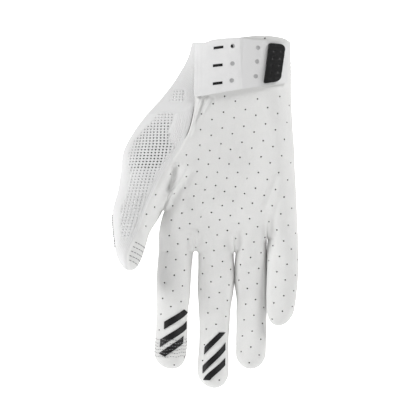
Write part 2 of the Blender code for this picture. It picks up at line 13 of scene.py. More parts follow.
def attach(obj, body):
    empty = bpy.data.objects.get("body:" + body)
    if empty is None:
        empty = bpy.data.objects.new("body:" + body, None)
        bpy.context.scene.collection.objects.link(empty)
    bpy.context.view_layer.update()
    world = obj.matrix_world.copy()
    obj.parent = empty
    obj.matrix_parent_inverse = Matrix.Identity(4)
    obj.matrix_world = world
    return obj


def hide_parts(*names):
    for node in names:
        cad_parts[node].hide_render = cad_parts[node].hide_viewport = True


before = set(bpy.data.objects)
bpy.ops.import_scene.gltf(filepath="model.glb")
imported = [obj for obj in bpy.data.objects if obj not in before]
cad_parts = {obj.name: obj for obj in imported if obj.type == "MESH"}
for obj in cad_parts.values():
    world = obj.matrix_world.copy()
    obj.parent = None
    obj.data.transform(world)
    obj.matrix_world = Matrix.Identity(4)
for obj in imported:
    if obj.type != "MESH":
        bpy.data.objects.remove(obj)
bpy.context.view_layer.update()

bl_info = {
    "name": "Motocross glove",
    "version": (1, 0, 0),
    "blender": (4, 5, 0),
    "location": "View3D > Sidebar > Glove",
    "description": "Cloth, knit and print of a motocross glove over its modelled form",
    "category": "Add Mesh",
}

# The hand form, with the sizes and tables of the solids; the fingers lie a little closer together
PALM_LENGTH = 0.1430
PALM_WIDTH = 0.0940
PALM_DEPTH = 0.0330
FINGER_WIDTH = 0.0240
THUMB_LENGTH = 0.0395
THUMB_WIDTH = 0.0328
THUMB_END_ROUND = 0.41 * THUMB_LENGTH
FINGER_END_ROUND = 0.0113
FINGER_DEPTH = (0.96, 0.90)
CROTCH = 0.808
CUFF_SEAM_TURN = -71.0
# Columns that part the form's pieces across, and the quads to one column
KNIT_END, THUMB_END, LAST, FINGER_COLUMNS = 5, 8, 36, 6
QUAD_COLUMNS = 4
# Rows that part them down, to the thumb's crotch, and the column behind which the cuff's ribs end
PANEL_ROW, CROTCH_ROW, GUSSET_ROW, GUSSET_BACK = 9, 16, 7, 4
PALM, BACK = -1, 1


class Table:
    """Rows of shares with named columns, read on a smooth curve between its rows."""

    def __init__(self, names, rows):
        self.down = [row[0] for row in rows]
        self.columns = {}
        last = len(rows) - 1
        for k, name in enumerate(names.split()[1:], 1):
            ys = [row[k] for row in rows]
            slopes = []
            for n in range(len(rows)):
                a, b = max(n - 1, 0), min(n + 1, last)
                slopes.append((ys[b] - ys[a]) / (self.down[b] - self.down[a]))
            self.columns[name] = (ys, slopes)

    def at(self, name, share):
        ys, slopes = self.columns[name]
        if share <= self.down[0]:
            return ys[0]
        if share >= self.down[-1]:
            return ys[-1]
        i = bisect.bisect_right(self.down, share) - 1
        h = self.down[i + 1] - self.down[i]
        t = (share - self.down[i]) / h
        near = (1 + 2 * t) * (1 - t) ** 2 * ys[i] + t * t * (3 - 2 * t) * ys[i + 1]
        return near + h * (t * (1 - t) ** 2 * slopes[i] - t * t * (1 - t) * slopes[i + 1])


HAND = Table("down thumb_edge knit_seam web_line palm_edge little_edge front back "
             "round_thumb round_little middle", (
    (0.000, -0.346, -0.326, -0.284, -0.265, 0.356, 0.667, 0.667, 0.351, 0.351, 0.000),
    (0.091, -0.383, -0.326, -0.281, -0.262, 0.357, 0.652, 0.652, 0.362, 0.351, 0.000),
    (0.189, -0.463, -0.326, -0.279, -0.257, 0.360, 0.606, 0.621, 0.383, 0.309, 0.000),
    (0.280, -0.567, -0.328, -0.281, -0.257, 0.362, 0.576, 0.576, 0.362, 0.255, 0.000),
    (0.364, -0.681, -0.345, -0.304, -0.277, 0.366, 0.545, 0.545, 0.309, 0.213, 0.000),
    (0.448, -0.772, -0.381, -0.336, -0.315, 0.374, 0.530, 0.515, 0.266, 0.181, 0.000),
    (0.531, -0.835, -0.449, -0.368, -0.349, 0.383, 0.515, 0.500, 0.234, 0.160, 0.000),
    (0.622, -0.851, -0.540, -0.400, -0.383, 0.387, 0.500, 0.485, 0.202, 0.149, 0.000),
    (0.713, -0.872, -0.609, -0.494, -0.479, 0.395, 0.485, 0.470, 0.186, 0.138, 0.000),
    (0.808, -0.909, -0.672, -0.557, -0.547, 0.401, 0.455, 0.440, 0.174, 0.128, -0.005),
    (0.902, -0.904, -0.718, -0.638, -0.583, 0.407, 0.410, 0.400, 0.133, 0.119, -0.025),
    (1.000, -0.883, -0.798, -0.687, -0.587, 0.414, 0.350, 0.350, 0.100, 0.114, -0.055),
))
LEAN = Table("down forward half", (
    (0.000, 0.000, 0.667),
    (0.150, 0.000, 0.610),
    (0.300, -0.080, 0.545),
    (0.450, -0.230, 0.500),
    (0.600, -0.380, 0.465),
    (0.808, -0.540, 0.420),
    (1.000, -0.680, 0.360),
))
THUMB = Table("down axis half forward depth seam", (
    (0.00, -0.733, 0.175, -0.540, 0.420, 0.25),
    (0.15, -0.750, 0.159, -0.580, 0.405, 0.25),
    (0.35, -0.772, 0.131, -0.640, 0.390, 0.25),
    (0.55, -0.780, 0.112, -0.690, 0.375, 0.05),
    (0.75, -0.786, 0.100, -0.720, 0.350, -0.12),
    (1.00, -0.783, 0.092, -0.730, 0.330, -0.22),
))
# Name, then fingertip and the webs on both sides as shares of the palm's length, place forward and curl
FINGERS = (
    ("index", 1.541, 0.998, 0.998, -0.060, 0.60),
    ("middle", 1.629, 0.998, 1.003, -0.050, 0.64),
    ("ring", 1.541, 1.003, 0.937, -0.010, 0.66),
    ("little", 1.341, 0.937, 0.937, -0.160, 0.46),
)
GIRTH = Table("down index_axis index_width middle_axis middle_width "
              "ring_axis ring_width little_axis little_width", (
    (0.00, -0.461, 0.972, -0.177, 1.000, 0.074, 0.892, 0.302, 0.863),
    (0.13, -0.472, 0.972, -0.175, 1.024, 0.070, 0.926, 0.299, 0.894),
    (0.26, -0.479, 0.972, -0.180, 1.024, 0.070, 0.930, 0.299, 0.896),
    (0.39, -0.482, 0.945, -0.186, 0.917, 0.076, 0.864, 0.296, 0.892),
    (0.52, -0.488, 0.890, -0.188, 0.861, 0.075, 0.862, 0.292, 0.880),
    (0.65, -0.490, 0.903, -0.192, 0.834, 0.074, 0.861, 0.286, 0.854),
    (0.78, -0.496, 0.917, -0.196, 0.872, 0.071, 0.861, 0.281, 0.805),
    (0.90, -0.500, 0.917, -0.198, 0.889, 0.068, 0.858, 0.273, 0.758),
    (1.00, -0.490, 0.905, -0.189, 0.875, 0.067, 0.840, 0.263, 0.730),
))
MOUTH = Table("across rise", ((-0.346, -0.022), (-0.263, -0.027), (-0.184, -0.008), (0.000, 0.000),
                              (0.135, 0.010), (0.300, 0.000), (0.356, -0.022)))
# Middle across and down, reach across and down, and rise, as shares of the palm's sizes
PADS = (
    (-0.340, 0.510, 0.170, 0.200, 0.110),
    (0.260, 0.420, 0.130, 0.240, 0.060),
    (-0.030, 0.620, 0.160, 0.170, -0.090),
    (-0.440, 0.900, 0.110, 0.060, 0.030),
    (-0.170, 0.890, 0.110, 0.060, 0.030),
    (0.090, 0.890, 0.110, 0.060, 0.030),
    (0.300, 0.840, 0.100, 0.060, 0.030),
)
# Both ends across and down, reach and rise, as shares of the palm's sizes
FOLDS = (
    (-0.465, 0.595, -0.520, 0.715, 0.022, -0.085),
    (-0.385, 0.600, -0.505, 0.735, 0.026, 0.036),
    (0.165, 0.800, 0.255, 0.640, 0.026, -0.030),
    (-0.300, 0.850, -0.180, 0.700, 0.040, -0.025),
    (-0.050, 0.850, -0.020, 0.720, 0.040, -0.025),
)
# Place along a finger, reach and rise, as shares of its length and width
CREASES = ((0.16, 0.17, -0.020), (0.44, 0.16, -0.018))
# Finger, then the share across and along it for each end of a grip bar
BARS = (
    ("index", 0.345, 0.629, 0.820, 0.505),
    ("index", 0.280, 0.780, 0.840, 0.624),
    ("index", 0.330, 0.878, 0.755, 0.748),
    ("middle", 0.300, 0.722, 0.680, 0.586),
    ("middle", 0.280, 0.861, 0.766, 0.689),
    ("middle", 0.335, 0.936, 0.760, 0.802),
)
BAR_WIDTH = 0.0050
# Thicknesses of the pieces, and the gap to the cloth under them
PIECE_GAP, LEATHER, RIB_KNIT, STRAP, TAB, GRIP = 0.0005, 0.0012, 0.0014, 0.0018, 0.0014, 0.0005
STRAP_LENGTH, STRAP_WIDTH, STRAP_START, STRAP_LEAN = 0.0595, 0.0350, -0.0285, 0.055
STRAP_EDGE = Table("along top bottom", ((0.00, 0.105, 1.130), (0.07, 0.112, 1.125), (0.20, 0.035, 1.075),
                                        (0.48, 0.014, 0.985), (0.56, 0.034, 0.965), (0.75, 0.060, 0.930),
                                        (1.00, 0.100, 0.860)))
# Plain bars printed on the strap: places over it, place along it, and size
MARKS, MARK_ALONG, MARK_SIZE = (0.16, 0.49, 0.82), 0.245, (0.0062, 0.0017)
# Vents along and over the strap
VENTS = ((0.395, 0.155), (0.400, 0.480), (0.400, 0.800), (0.665, 0.165), (0.665, 0.455), (0.665, 0.765))
VENT_RADIUS = 0.00148
TAB_LENGTH, TAB_WIDTH, TAB_START, TAB_CORNERS = 0.0250, 0.0097, 0.772, (0.0012, 0.0034)


def ease(t):
    t = min(max(t, 0.0), 1.0)
    return t * t * (3 - 2 * t)


def mix(a, b, t):
    return a + (b - a) * t


def rounded(reach):
    """Rise of a rounded edge: 0 at the edge, 1 from one radius in."""
    return math.sqrt(max(0.0, 1 - (1 - min(max(reach, 0.0), 1.0)) ** 2))


def turn(degrees):
    return math.sin(math.radians(degrees))


def hand(name, down):
    size = PALM_DEPTH if name in ("front", "back", "middle") else PALM_WIDTH
    return size * HAND.at(name, down)


def lean(name, down):
    return PALM_DEPTH * LEAN.at(name, down)


def girth(k, what, share):
    return GIRTH.at("%s_%s" % (FINGERS[k][0], what), share)


def finger_first(k):
    return THUMB_END + 1 + k * (FINGER_COLUMNS + 1)


WEBS = Table("q down", tuple(zip(
    [finger_first(0)] + [finger_first(k) - 0.5 for k in range(1, 4)] + [LAST],
    [finger[2] for finger in FINGERS] + [FINGERS[-1][3]])))


def web_down(q):
    """Share of the palm's length at the end of the hand's sheet, arched between two fingers."""
    end = WEBS.at("down", q)
    for k in range(1, 4):
        off = abs(q - finger_first(k) + 0.5)
        if off < 1.5:
            end += 0.0080 * (4 * off * off if off < 0.5 else 1 - ease(off - 0.5))
    return end


def thumb_turn(q, seam=0.25):
    at = 90 * seam
    if q <= KNIT_END:
        return mix(-90, at, q / KNIT_END)
    return mix(at, 90, (q - KNIT_END) / (THUMB_END - KNIT_END))


WEB_SPOTS = [(finger_first(k) + c, PALM_WIDTH * girth(k, "axis", 0)
              + FINGER_WIDTH * girth(k, "width", 0) / 2 * turn(-90 + 30 * c))
             for k in range(4) for c in range(FINGER_COLUMNS + 1)]


def across(q, down):
    """X of a column of the hand at a share of its length."""
    seam, web = hand("knit_seam", down), hand("web_line", down)
    if q <= KNIT_END:
        edge = hand("thumb_edge", down)
        return edge + (seam - edge) * (1 + turn(thumb_turn(q))) / (1 + turn(22.5))
    if q <= THUMB_END:
        v = (q - KNIT_END) / (THUMB_END - KNIT_END)
        bunched = (turn(thumb_turn(q)) - turn(22.5)) / (1 - turn(22.5))
        return mix(seam, web, mix(v, bunched, ease((down - 0.6) / 0.2)))
    first, last = hand("palm_edge", down), hand("little_edge", down)
    if q <= THUMB_END + 1:
        return mix(web, first, q - THUMB_END)
    step = (90 - CUFF_SEAM_TURN) / (LAST - KNIT_END)
    start = turn(CUFF_SEAM_TURN + step * (THUMB_END + 1 - KNIT_END))
    at_cuff = (turn(CUFF_SEAM_TURN + step * (q - KNIT_END)) - start) / (1 - start)
    i = min(int(q) - WEB_SPOTS[0][0], len(WEB_SPOTS) - 2)
    (q0, x0), (q1, x1) = WEB_SPOTS[i], WEB_SPOTS[i + 1]
    v = q - q0
    if q1 - q0 == 1 and (q0 - WEB_SPOTS[0][0]) % (FINGER_COLUMNS + 1) < FINGER_COLUMNS:
        k = (q0 - WEB_SPOTS[0][0]) // (FINGER_COLUMNS + 1)
        angle = -90 + 30 * (q - finger_first(k))
        half = FINGER_WIDTH * girth(k, "width", 0) / 2
        spot = PALM_WIDTH * girth(k, "axis", 0) + half * turn(angle)
    else:
        spot = mix(x0, x1, v)
    at_web = (spot - WEB_SPOTS[0][1]) / (WEB_SPOTS[-1][1] - WEB_SPOTS[0][1])
    return mix(first, last, mix(at_cuff, at_web, ease((down - 0.1) / 0.75)))


def thumb_part(x, down):
    at = min(down, CROTCH)
    axis = hand("thumb_edge", at) + 0.5 * hand("round_thumb", at)
    return 1 - ease((x - axis) / (hand("web_line", at) + 0.020 - axis))


def beside(x, z, x0, z0, x1, z1):
    """Length along a line to a spot, the line's whole length, and the spot's distance off it."""
    ex, ez = x1 - x0, z1 - z0
    length = math.hypot(ex, ez)
    return ((x - x0) * ex + (z - z0) * ez) / length, length, ((x - x0) * ez - (z - z0) * ex) / length


def relief(x, down, side):
    """Pads and folds of the palm side, as a rise along the depth."""
    if side > 0:
        return 0.0
    a = x / PALM_WIDTH
    rise = sum(high * math.exp(-((a - pa) / ra) ** 2 - ((down - pd) / rd) ** 2)
               for pa, pd, ra, rd, high in PADS)
    for a0, d0, a1, d1, reach, high in FOLDS:
        along, length, off = beside(x, down * PALM_LENGTH, a0 * PALM_WIDTH, d0 * PALM_LENGTH,
                                    a1 * PALM_WIDTH, d1 * PALM_LENGTH)
        t = along / length
        taper = ease(t / 0.25 + 0.5) * ease((1 - t) / 0.25 + 0.5)
        if taper:
            rise += high * taper * math.exp(-(off / (reach * PALM_WIDTH)) ** 2)
    return PALM_DEPTH * rise


PLEATS = (  # from x, z to x, z, reach and rise in millimetres
    (-31.5, -41.0, -41.5, -48.0, 0.9, -0.8),
    (-29.2, -41.2, -36.6, -65.0, 1.5, -1.0),
    (-27.5, -41.0, -34.2, -65.0, 1.5, 1.6),
    (-24.8, -40.8, -31.3, -57.5, 1.2, -1.4),
    (-21.8, -40.3, -29.0, -55.5, 1.5, 0.8),
    (-18.5, -39.6, -25.3, -50.5, 1.3, -0.7),
    (-43.7, -84.7, -44.2, -92.7, 2.2, -1.5),
    (-44.2, -92.7, -48.7, -100.9, 2.0, -1.5),
    (-36.9, -87.7, -42.7, -99.0, 0.9, 0.6),
    (-42.7, -99.0, -48.1, -104.3, 0.9, 0.6),
    (-46.7, -108.7, -33.3, -108.7, 5.5, -1.6),
    (17.3, -134.0, 27.3, -101.3, 1.5, -0.5),
)


def pleats(x, z):
    """Fine folds of the palm side, as a rise along the depth."""
    rise = 0.0
    for x0, z0, x1, z1, reach, high in PLEATS:
        along, length, off = beside(1000 * x, 1000 * z, x0, z0, x1, z1)
        if abs(off) > 3 * reach:
            continue
        taper = ease(along / (3 if z0 > -45 else 6) + 0.5) * ease((length - along) / 6 + 0.5)
        rise += 0.001 * high * taper * math.exp(-(off / reach) ** 2)
    return rise


def web_rise(gap, near):
    """Rounding of the sheet beside a web: shares of the way from its edge and above its end."""
    fill = mix(rounded(near), ease(near * 0.8), ease(gap * 2.5))
    return 1 - (1 - rounded(gap)) * (1 - fill)


def hand_at(q, down, side):
    """Point of the hand's sheet at a column and a share of the palm's length."""
    x = across(q, down)
    left, right = hand("thumb_edge", down), hand("little_edge", down)
    part = thumb_part(x, down)
    half = hand("front" if side < 0 else "back", down)
    middle = hand("middle", down)
    if down <= CROTCH:
        half = mix(half, lean("half", down), part)
        middle = mix(middle, lean("forward", down), part)
        rise = rounded((x - left) / hand("round_thumb", down))
    else:
        fade = 1 - ease((down - CROTCH) / (1 - CROTCH))
        middle = mix(middle, lean("forward", CROTCH), part * fade)
        half = mix(half, lean("half", CROTCH), part * fade)
        rise = 1.0
    rise *= rounded((right - x) / hand("round_little", down))
    near = (PALM_LENGTH * (CROTCH - down)) / (0.026 if side < 0 else 0.016)
    if q <= THUMB_END:
        rise *= web_rise((hand("web_line", down) - x) / (0.5 * THUMB_WIDTH), near)
    elif q >= THUMB_END + 1:
        rise *= web_rise((x - hand("palm_edge", down)) / 0.0115, near)
    else:
        rise *= rounded(near)
    for k in range(1, 4):
        a, b = finger_first(k) - 1, finger_first(k)
        if a - FINGER_COLUMNS <= q <= b + FINGER_COLUMNS:
            gap = 0.0
            if q < a:
                gap = (across(a, down) - x) / (0.5 * FINGER_WIDTH * girth(k - 1, "width", 0))
            if q > b:
                gap = (x - across(b, down)) / (0.5 * FINGER_WIDTH * girth(k, "width", 0))
            rise *= web_rise(gap, PALM_LENGTH * (web_down(q) - down) / 0.013)
    y = middle + side * rise * (half + relief(x, down, side))
    if side < 0:
        y -= rise * pleats(x, -PALM_LENGTH * down)
    lift = PALM_LENGTH * MOUTH.at("rise", x / PALM_WIDTH)
    edge = mix(1.0, 0.35, 0.5 + 0.5 * side * rise)
    t = CROTCH_ROW * down / CROTCH
    return Vector((x, y, -PALM_LENGTH * down + lift * edge * max(0.0, 1 - t / 3)))


def end_shrink(left, end):
    """Shrink of a digit's section with this length left to its tip."""
    return 1.0 if left >= end else rounded(max(left, 0.0) / end)


JOIN = 0.024  # length over which a digit's own form takes over from the hand's sheet
JOINS = {}  # steps from a digit's own form to the sheet, as they are found


def joined(key, own, drop, root):
    """A digit's own point, drawn to the hand's sheet where the two meet."""
    spot = own(drop)
    if drop < JOIN:
        if key not in JOINS:
            JOINS[key] = root() - own(0.0)
        spot += JOINS[key] * (1 - ease(drop / JOIN))
    return spot


def thumb_at(q, drop, side):
    """Point of the thumb under its crotch."""
    return joined(("thumb", round(q, 4), side), lambda d: thumb_own(q, d, side), drop,
                  lambda: hand_at(q, CROTCH, side))


def finger_at(k, q, drop, side):
    """Point of finger k under its web."""
    return joined((k, round(q, 4), side), lambda d: finger_own(k, q, d, side), drop,
                  lambda: hand_at(q, web_down(q), side))


def thumb_own(q, drop, side):
    share = drop / THUMB_LENGTH
    shrink = end_shrink(THUMB_LENGTH - drop, THUMB_END_ROUND)
    angle = thumb_turn(q, THUMB.at("seam", share))
    x = PALM_WIDTH * (THUMB.at("axis", share) + THUMB.at("half", share) * shrink * turn(angle))
    part = thumb_part(across(q, CROTCH), CROTCH)
    middle = mix(PALM_DEPTH * THUMB.at("forward", share), lean("forward", CROTCH) * part,
                 1 - ease(share / 0.5))
    at_root = mix(hand("front" if side < 0 else "back", CROTCH), lean("half", CROTCH), part)
    deep = mix(at_root, PALM_DEPTH * THUMB.at("depth", share), ease(share / 0.4))
    y = middle + side * deep * shrink * abs(turn(90 - abs(angle)))
    return Vector((x, y, -PALM_LENGTH * CROTCH - drop))


def finger_own(k, q, drop, side):
    _, reach, _, _, forward, curl = FINGERS[k]
    web = web_down(q)
    full = PALM_LENGTH * (reach - web)
    share = drop / full
    shrink = end_shrink(full - drop, FINGER_END_ROUND)
    angle = -90 + 180 * (q - finger_first(k)) / FINGER_COLUMNS
    half = 0.5 * FINGER_WIDTH * girth(k, "width", share)
    x = PALM_WIDTH * girth(k, "axis", share) + half * shrink * turn(angle)
    deep = mix(hand("front" if side < 0 else "back", web), half * mix(*FINGER_DEPTH, share),
               ease(share / 0.35))
    fade = 1 - ease((web - CROTCH) / (1 - CROTCH))
    part = thumb_part(across(q, web), web) * fade
    middle = mix(mix(hand("middle", web), lean("forward", CROTCH), part),
                 PALM_DEPTH * forward, ease(share / 0.30))
    middle -= PALM_DEPTH * curl * share ** 1.6
    rise = 0.0
    if side < 0:
        for at, wide, high in CREASES:
            apart = (share - at) * full / (wide * FINGER_WIDTH)
            rise += FINGER_WIDTH * high * math.exp(-apart ** 2) * turn(90 - abs(angle)) ** 2
    y = middle + side * (deep + rise) * shrink * abs(turn(90 - abs(angle)))
    return Vector((x, y, -PALM_LENGTH * web - drop))


def finger_of(q):
    k = int((q - finger_first(0) + 0.5) // (FINGER_COLUMNS + 1))
    return min(max(k, 0), 3)


def skin(q, z, side):
    """Point of the form at a column and a height, or None where the form has no cloth."""
    down = -z / PALM_LENGTH
    if down <= CROTCH:
        return hand_at(q, down, side)
    if q <= THUMB_END:
        drop = (down - CROTCH) * PALM_LENGTH
        return thumb_at(q, drop, side) if drop < THUMB_LENGTH else None
    if q < THUMB_END + 1:
        return None
    if down <= web_down(q):
        return hand_at(q, down, side)
    k = finger_of(q)
    if not finger_first(k) <= q <= finger_first(k) + FINGER_COLUMNS:
        return None
    drop = (down - web_down(q)) * PALM_LENGTH
    return finger_at(k, q, drop, side) if drop < PALM_LENGTH * (FINGERS[k][1] - web_down(q)) else None


def frame_on(q, z, side=PALM, step=0.2):
    """Point and outward normal of the form."""
    reach = 0.0008
    ahead, behind = skin(q + step, z, side), skin(q - step, z, side)
    below, above = skin(q, z - reach, side), skin(q, min(z + reach, -1e-4), side)
    normal = (below - above).cross(ahead - behind) * -side
    return skin(q, z, side), normal.normalized()


def column_at(x, z, side=PALM, low=0.0, high=float(LAST)):
    """Column of the form at a height where it passes a place across."""
    for _ in range(26):
        q = (low + high) / 2
        spot = skin(q, z, side)
        low, high = (q, high) if spot is not None and spot.x < x else (low, q)
    return q


# Node helpers
class Sock:
    """A node's socket as a number that can be worked with."""

    def __init__(self, shader, socket):
        self.shader, self.socket = shader, socket

    def _math(self, operation, a, b):
        return self.shader.node("ShaderNodeMath", {"operation": operation}, {0: a, 1: b})

    def __add__(self, other):
        return self._math("ADD", self, other)

    def __sub__(self, other):
        return self._math("SUBTRACT", self, other)

    def __rsub__(self, other):
        return self._math("SUBTRACT", other, self)

    def __mul__(self, other):
        return self._math("MULTIPLY", self, other)

    __radd__, __rmul__ = __add__, __mul__

    def sine(self):
        return self._math("SINE", self, 0.0)

    def clamp(self, low, high):
        """0 at low, 1 at high, straight between."""
        return self.shader.node("ShaderNodeMapRange", {}, {"Value": self, "From Min": low, "From Max": high})


class Shader:
    """A material with a Principled shader and short ways to add nodes."""

    def __init__(self, name, **values):
        self.material = bpy.data.materials.new(name)
        self.material.use_nodes = True
        self.tree = self.material.node_tree
        self.principled = self.tree.nodes["Principled BSDF"]
        for socket, value in values.items():
            self.principled.inputs[socket.replace("_", " ")].default_value = value

    def node(self, kind, settings=None, inputs=None, out=0):
        made = self.tree.nodes.new(kind)
        for name, value in (settings or {}).items():
            if name == "stops":
                for element, (at, colour) in zip(made.color_ramp.elements, value):
                    element.position, element.color = at, colour
            else:
                setattr(made, name, value)
        for name, value in (inputs or {}).items():
            if isinstance(value, Sock):
                self.tree.links.new(value.socket, made.inputs[name])
            else:
                made.inputs[name].default_value = value
        return Sock(self, made.outputs[out])

    def feed(self, name, value):
        self.tree.links.new(value.socket, self.principled.inputs[name])

    def place(self):
        return self.node("ShaderNodeTexCoord", out="Object")

    def noise(self, place, scale, detail=2.0, rough=0.5):
        return self.node("ShaderNodeTexNoise", {},
                         {"Vector": place, "Scale": scale, "Detail": detail, "Roughness": rough})

    def attribute(self, name):
        return self.node("ShaderNodeAttribute", {"attribute_name": name}, out="Fac")

    def axis(self, place, name):
        return self.node("ShaderNodeSeparateXYZ", {}, {0: place}, out=name)

    def tint(self, amount, low, high):
        """Mix of two colours, each a triple or the outcome of another node."""
        low, high = (side if isinstance(side, Sock) else (*side, 1.0) for side in (low, high))
        return self.node("ShaderNodeMix", {"data_type": "RGBA"}, {0: amount, 6: low, 7: high}, out=2)

    def ribs(self, pitch):
        """Wave across the cloth's ribs, where its layers say that it has them."""
        wave = (self.attribute("rib") * (2 * math.pi / pitch)).sine() * 0.5 + 0.5
        return wave * self.attribute("ribbed")

    def bump(self, height, distance, strength=1.0):
        self.feed("Normal", self.node("ShaderNodeBump", {},
                                      {"Strength": strength, "Distance": distance, "Height": height}))


def shade(colour, share):
    return [share * value for value in colour]


def suede(name, colour):
    """White synthetic suede: short nap, soft blotches, a little darker low in the nap."""
    made = Shader(name, Roughness=0.86, Sheen_Weight=0.12)
    place = made.place()
    nap = made.noise(place, 1500.0, 4.0, 0.65)
    blotch = made.noise(place, 90.0, 3.0)
    amount = (nap * 0.55 + blotch * 0.45).clamp(0.25, 0.75)
    made.feed("Base Color", made.tint(amount, shade(colour, 0.90), colour))
    made.bump(nap * 0.6 + made.noise(place, 420.0, 3.0) * 0.4, 0.00018, 0.8)
    return made.material


def knit_yarn(name, colour):
    """Matt white yarn with fine twist across the threads."""
    made = Shader(name, Roughness=0.92, Sheen_Weight=0.25)
    place = made.place()
    twist = (made.axis(place, "Z") * 9000.0).sine() * 0.5 + 0.5
    fuzz = made.noise(place, 2400.0, 3.0, 0.6)
    amount = (fuzz * 0.6 + made.noise(place, 120.0, 2.0) * 0.4).clamp(0.3, 0.7)
    made.feed("Base Color", made.tint(amount, shade(colour, 0.90), colour))
    made.bump(twist * 0.4 + fuzz * 0.6, 0.00012, 0.8)
    return made.material


def knit_ground(name, colour, deep):
    """Cloth under the open knit: painted shade turns it grey where it lies deep under the holes, and it
    stays white along the seams.
    """
    made = Shader(name, Roughness=0.92, Sheen_Weight=0.2)
    place = made.place()
    fuzz = made.noise(place, 2000.0, 3.0, 0.6)
    hollow_shade = made.attribute("hollow_shade").clamp(0.15, 0.85)
    rib = made.ribs(0.0013)
    pale = made.tint(rib * 0.5 + fuzz * 0.4, colour, shade(colour, 0.86))
    # painted shade: the colour goes towards the dark grey where the layer says the cloth lies deep under the
    # open knit
    made.feed("Base Color", made.tint(hollow_shade * (0.85 + fuzz * 0.3), pale, deep))
    made.bump(fuzz * 0.3 - rib * 0.7, 0.0003, 0.9)
    return made.material


def rib_cloth(name, colour, deep):
    """Stretch knit with ribs that run down the cuff, grey with painted shade where it lies deep under the
    open knit patch.
    """
    made = Shader(name, Roughness=0.9, Sheen_Weight=0.2)
    place = made.place()
    rib = made.ribs(0.00115)
    fuzz = made.noise(place, 2200.0, 3.0, 0.6)
    pale = made.tint((rib * 0.5 + fuzz * 0.5).clamp(0.1, 0.8), shade(colour, 0.88), colour)
    # painted shade: the colour goes towards the grey where the layer says the cloth lies under the open knit
    made.feed("Base Color", made.tint(made.attribute("hollow_shade").clamp(0.1, 0.85), pale, deep))
    made.bump(rib * 0.8 + fuzz * 0.2, 0.0003, 0.8)
    return made.material


def laminate(name, colour):
    """Smooth strap cloth with a fine square weave, a little darker between its two end patches."""
    made = Shader(name, Roughness=0.72, Sheen_Weight=0.08)
    place = made.place()
    x, z = made.axis(place, "X"), made.axis(place, "Z")
    weave = (x * 7000.0).sine() * (z * 7000.0).sine() * 0.5 + 0.5
    cloud = made.noise(place, 160.0, 3.0)
    pale = made.tint((cloud * 0.7 + weave * 0.3).clamp(0.25, 0.75), shade(colour, 0.93), colour)
    inner = (x + z * STRAP_LEAN).clamp(-0.0014, -0.0008) * (1 - x.clamp(0.012, 0.018))
    made.feed("Base Color", made.tint(inner * 0.55, pale, shade(colour, 0.80)))
    made.bump(weave * 0.5 + cloud * 0.5, 0.00008, 0.7)
    return made.material


def rubber(name, colour):
    """Matt black rubber with a faint moulded stipple."""
    made = Shader(name, Specular_IOR_Level=0.3)
    place = made.place()
    grain = made.noise(place, 1800.0, 2.0)
    cells = made.node("ShaderNodeTexVoronoi", {}, {"Vector": place, "Scale": 520.0}, out="Distance")
    made.feed("Base Color", made.tint(grain.clamp(0.3, 0.7), colour, shade(colour, 2.0)))
    made.feed("Roughness", made.noise(place, 300.0, 2.0) * 0.2 + 0.34)
    made.bump(cells * 0.8 + grain * 0.2, 0.00025, 0.8)
    return made.material


def print_film(name, colour):
    """Satin black silicone print with small pits."""
    made = Shader(name, Specular_IOR_Level=0.3)
    place = made.place()
    grain = made.noise(place, 1300.0, 3.0)
    made.feed("Base Color", made.tint(grain.clamp(0.35, 0.7), colour, shade(colour, 2.4)))
    made.feed("Roughness", grain * 0.3 + 0.36)
    made.bump(grain, 0.0001, 0.7)
    return made.material


def thread(name, colour):
    """Spun sewing thread."""
    made = Shader(name, Roughness=0.75)
    place = made.place()
    twist = made.noise(place, 3200.0, 2.0)
    made.feed("Base Color", made.tint(twist.clamp(0.3, 0.7), shade(colour, 0.82), colour))
    made.bump(twist, 0.00006, 0.6)
    return made.material


# Mesh helpers
def bent_grid(bm, steps, place):
    """Grid of quads bent by a rule from its two shares to a point; the first runs across."""
    made = bmesh.ops.create_grid(bm, x_segments=steps[0], y_segments=steps[1], size=1.0)
    lost = []
    for vert in made["verts"]:
        spot = place((vert.co.x + 1) / 2, (1 - vert.co.y) / 2)
        if spot is None:
            lost.append(vert)
        else:
            vert.co = spot
    bmesh.ops.delete(bm, geom=lost, context="VERTS")
    return [vert for vert in made["verts"] if vert.is_valid]


def digit_drop(share, full, end):
    """Distance down a digit for a share of its rows, closer together round its end."""
    body = 1 - 0.62 * end / full * 2
    if share <= body:
        return (full - end) * share / body
    angle = 90 * (1 - (share - body) / (1 - body))
    return full - end * (1 - math.cos(math.radians(angle)))


def sheet_block(bm, side, q0, q1, z_from, z_to, cell):
    """One stretch of the hand's sheet between two shares of the palm's length, or down to the webs."""
    steps = (max(2, round((q1 - q0) * QUAD_COLUMNS)), max(1, round((z_to - z_from) * PALM_LENGTH / cell)))

    def place(u, v):
        q = mix(q0, q1, u)
        return hand_at(q, mix(z_from, web_down(q) if z_to == 1 else z_to, v), side)

    verts = bent_grid(bm, steps, place)
    if side > 0:
        flip(bm, verts)


def flip(bm, verts):
    faces = {face for vert in verts for face in vert.link_faces}
    bmesh.ops.reverse_faces(bm, faces=list(faces))


THUMB_DIGIT = -1  # number of the thumb among the digits; the fingers are 0 to 3


def digit_block(bm, k, side, q0, q1, cell):
    """One side of a digit, closed to a point at its tip."""
    full = THUMB_LENGTH if k < 0 else PALM_LENGTH * (FINGERS[k][1] - web_down(finger_first(k) + 3))
    end = THUMB_END_ROUND if k < 0 else FINGER_END_ROUND
    rows = round(full / cell * 1.15)

    def place(u, v):
        q = mix(q0, q1, u)
        if k < 0:
            return thumb_at(q, digit_drop(v, full, end), side)
        own = PALM_LENGTH * (FINGERS[k][1] - web_down(q))
        return finger_at(k, q, digit_drop(v, own, end), side)

    verts = bent_grid(bm, (round((q1 - q0) * QUAD_COLUMNS), rows), place)
    if side > 0:
        flip(bm, verts)


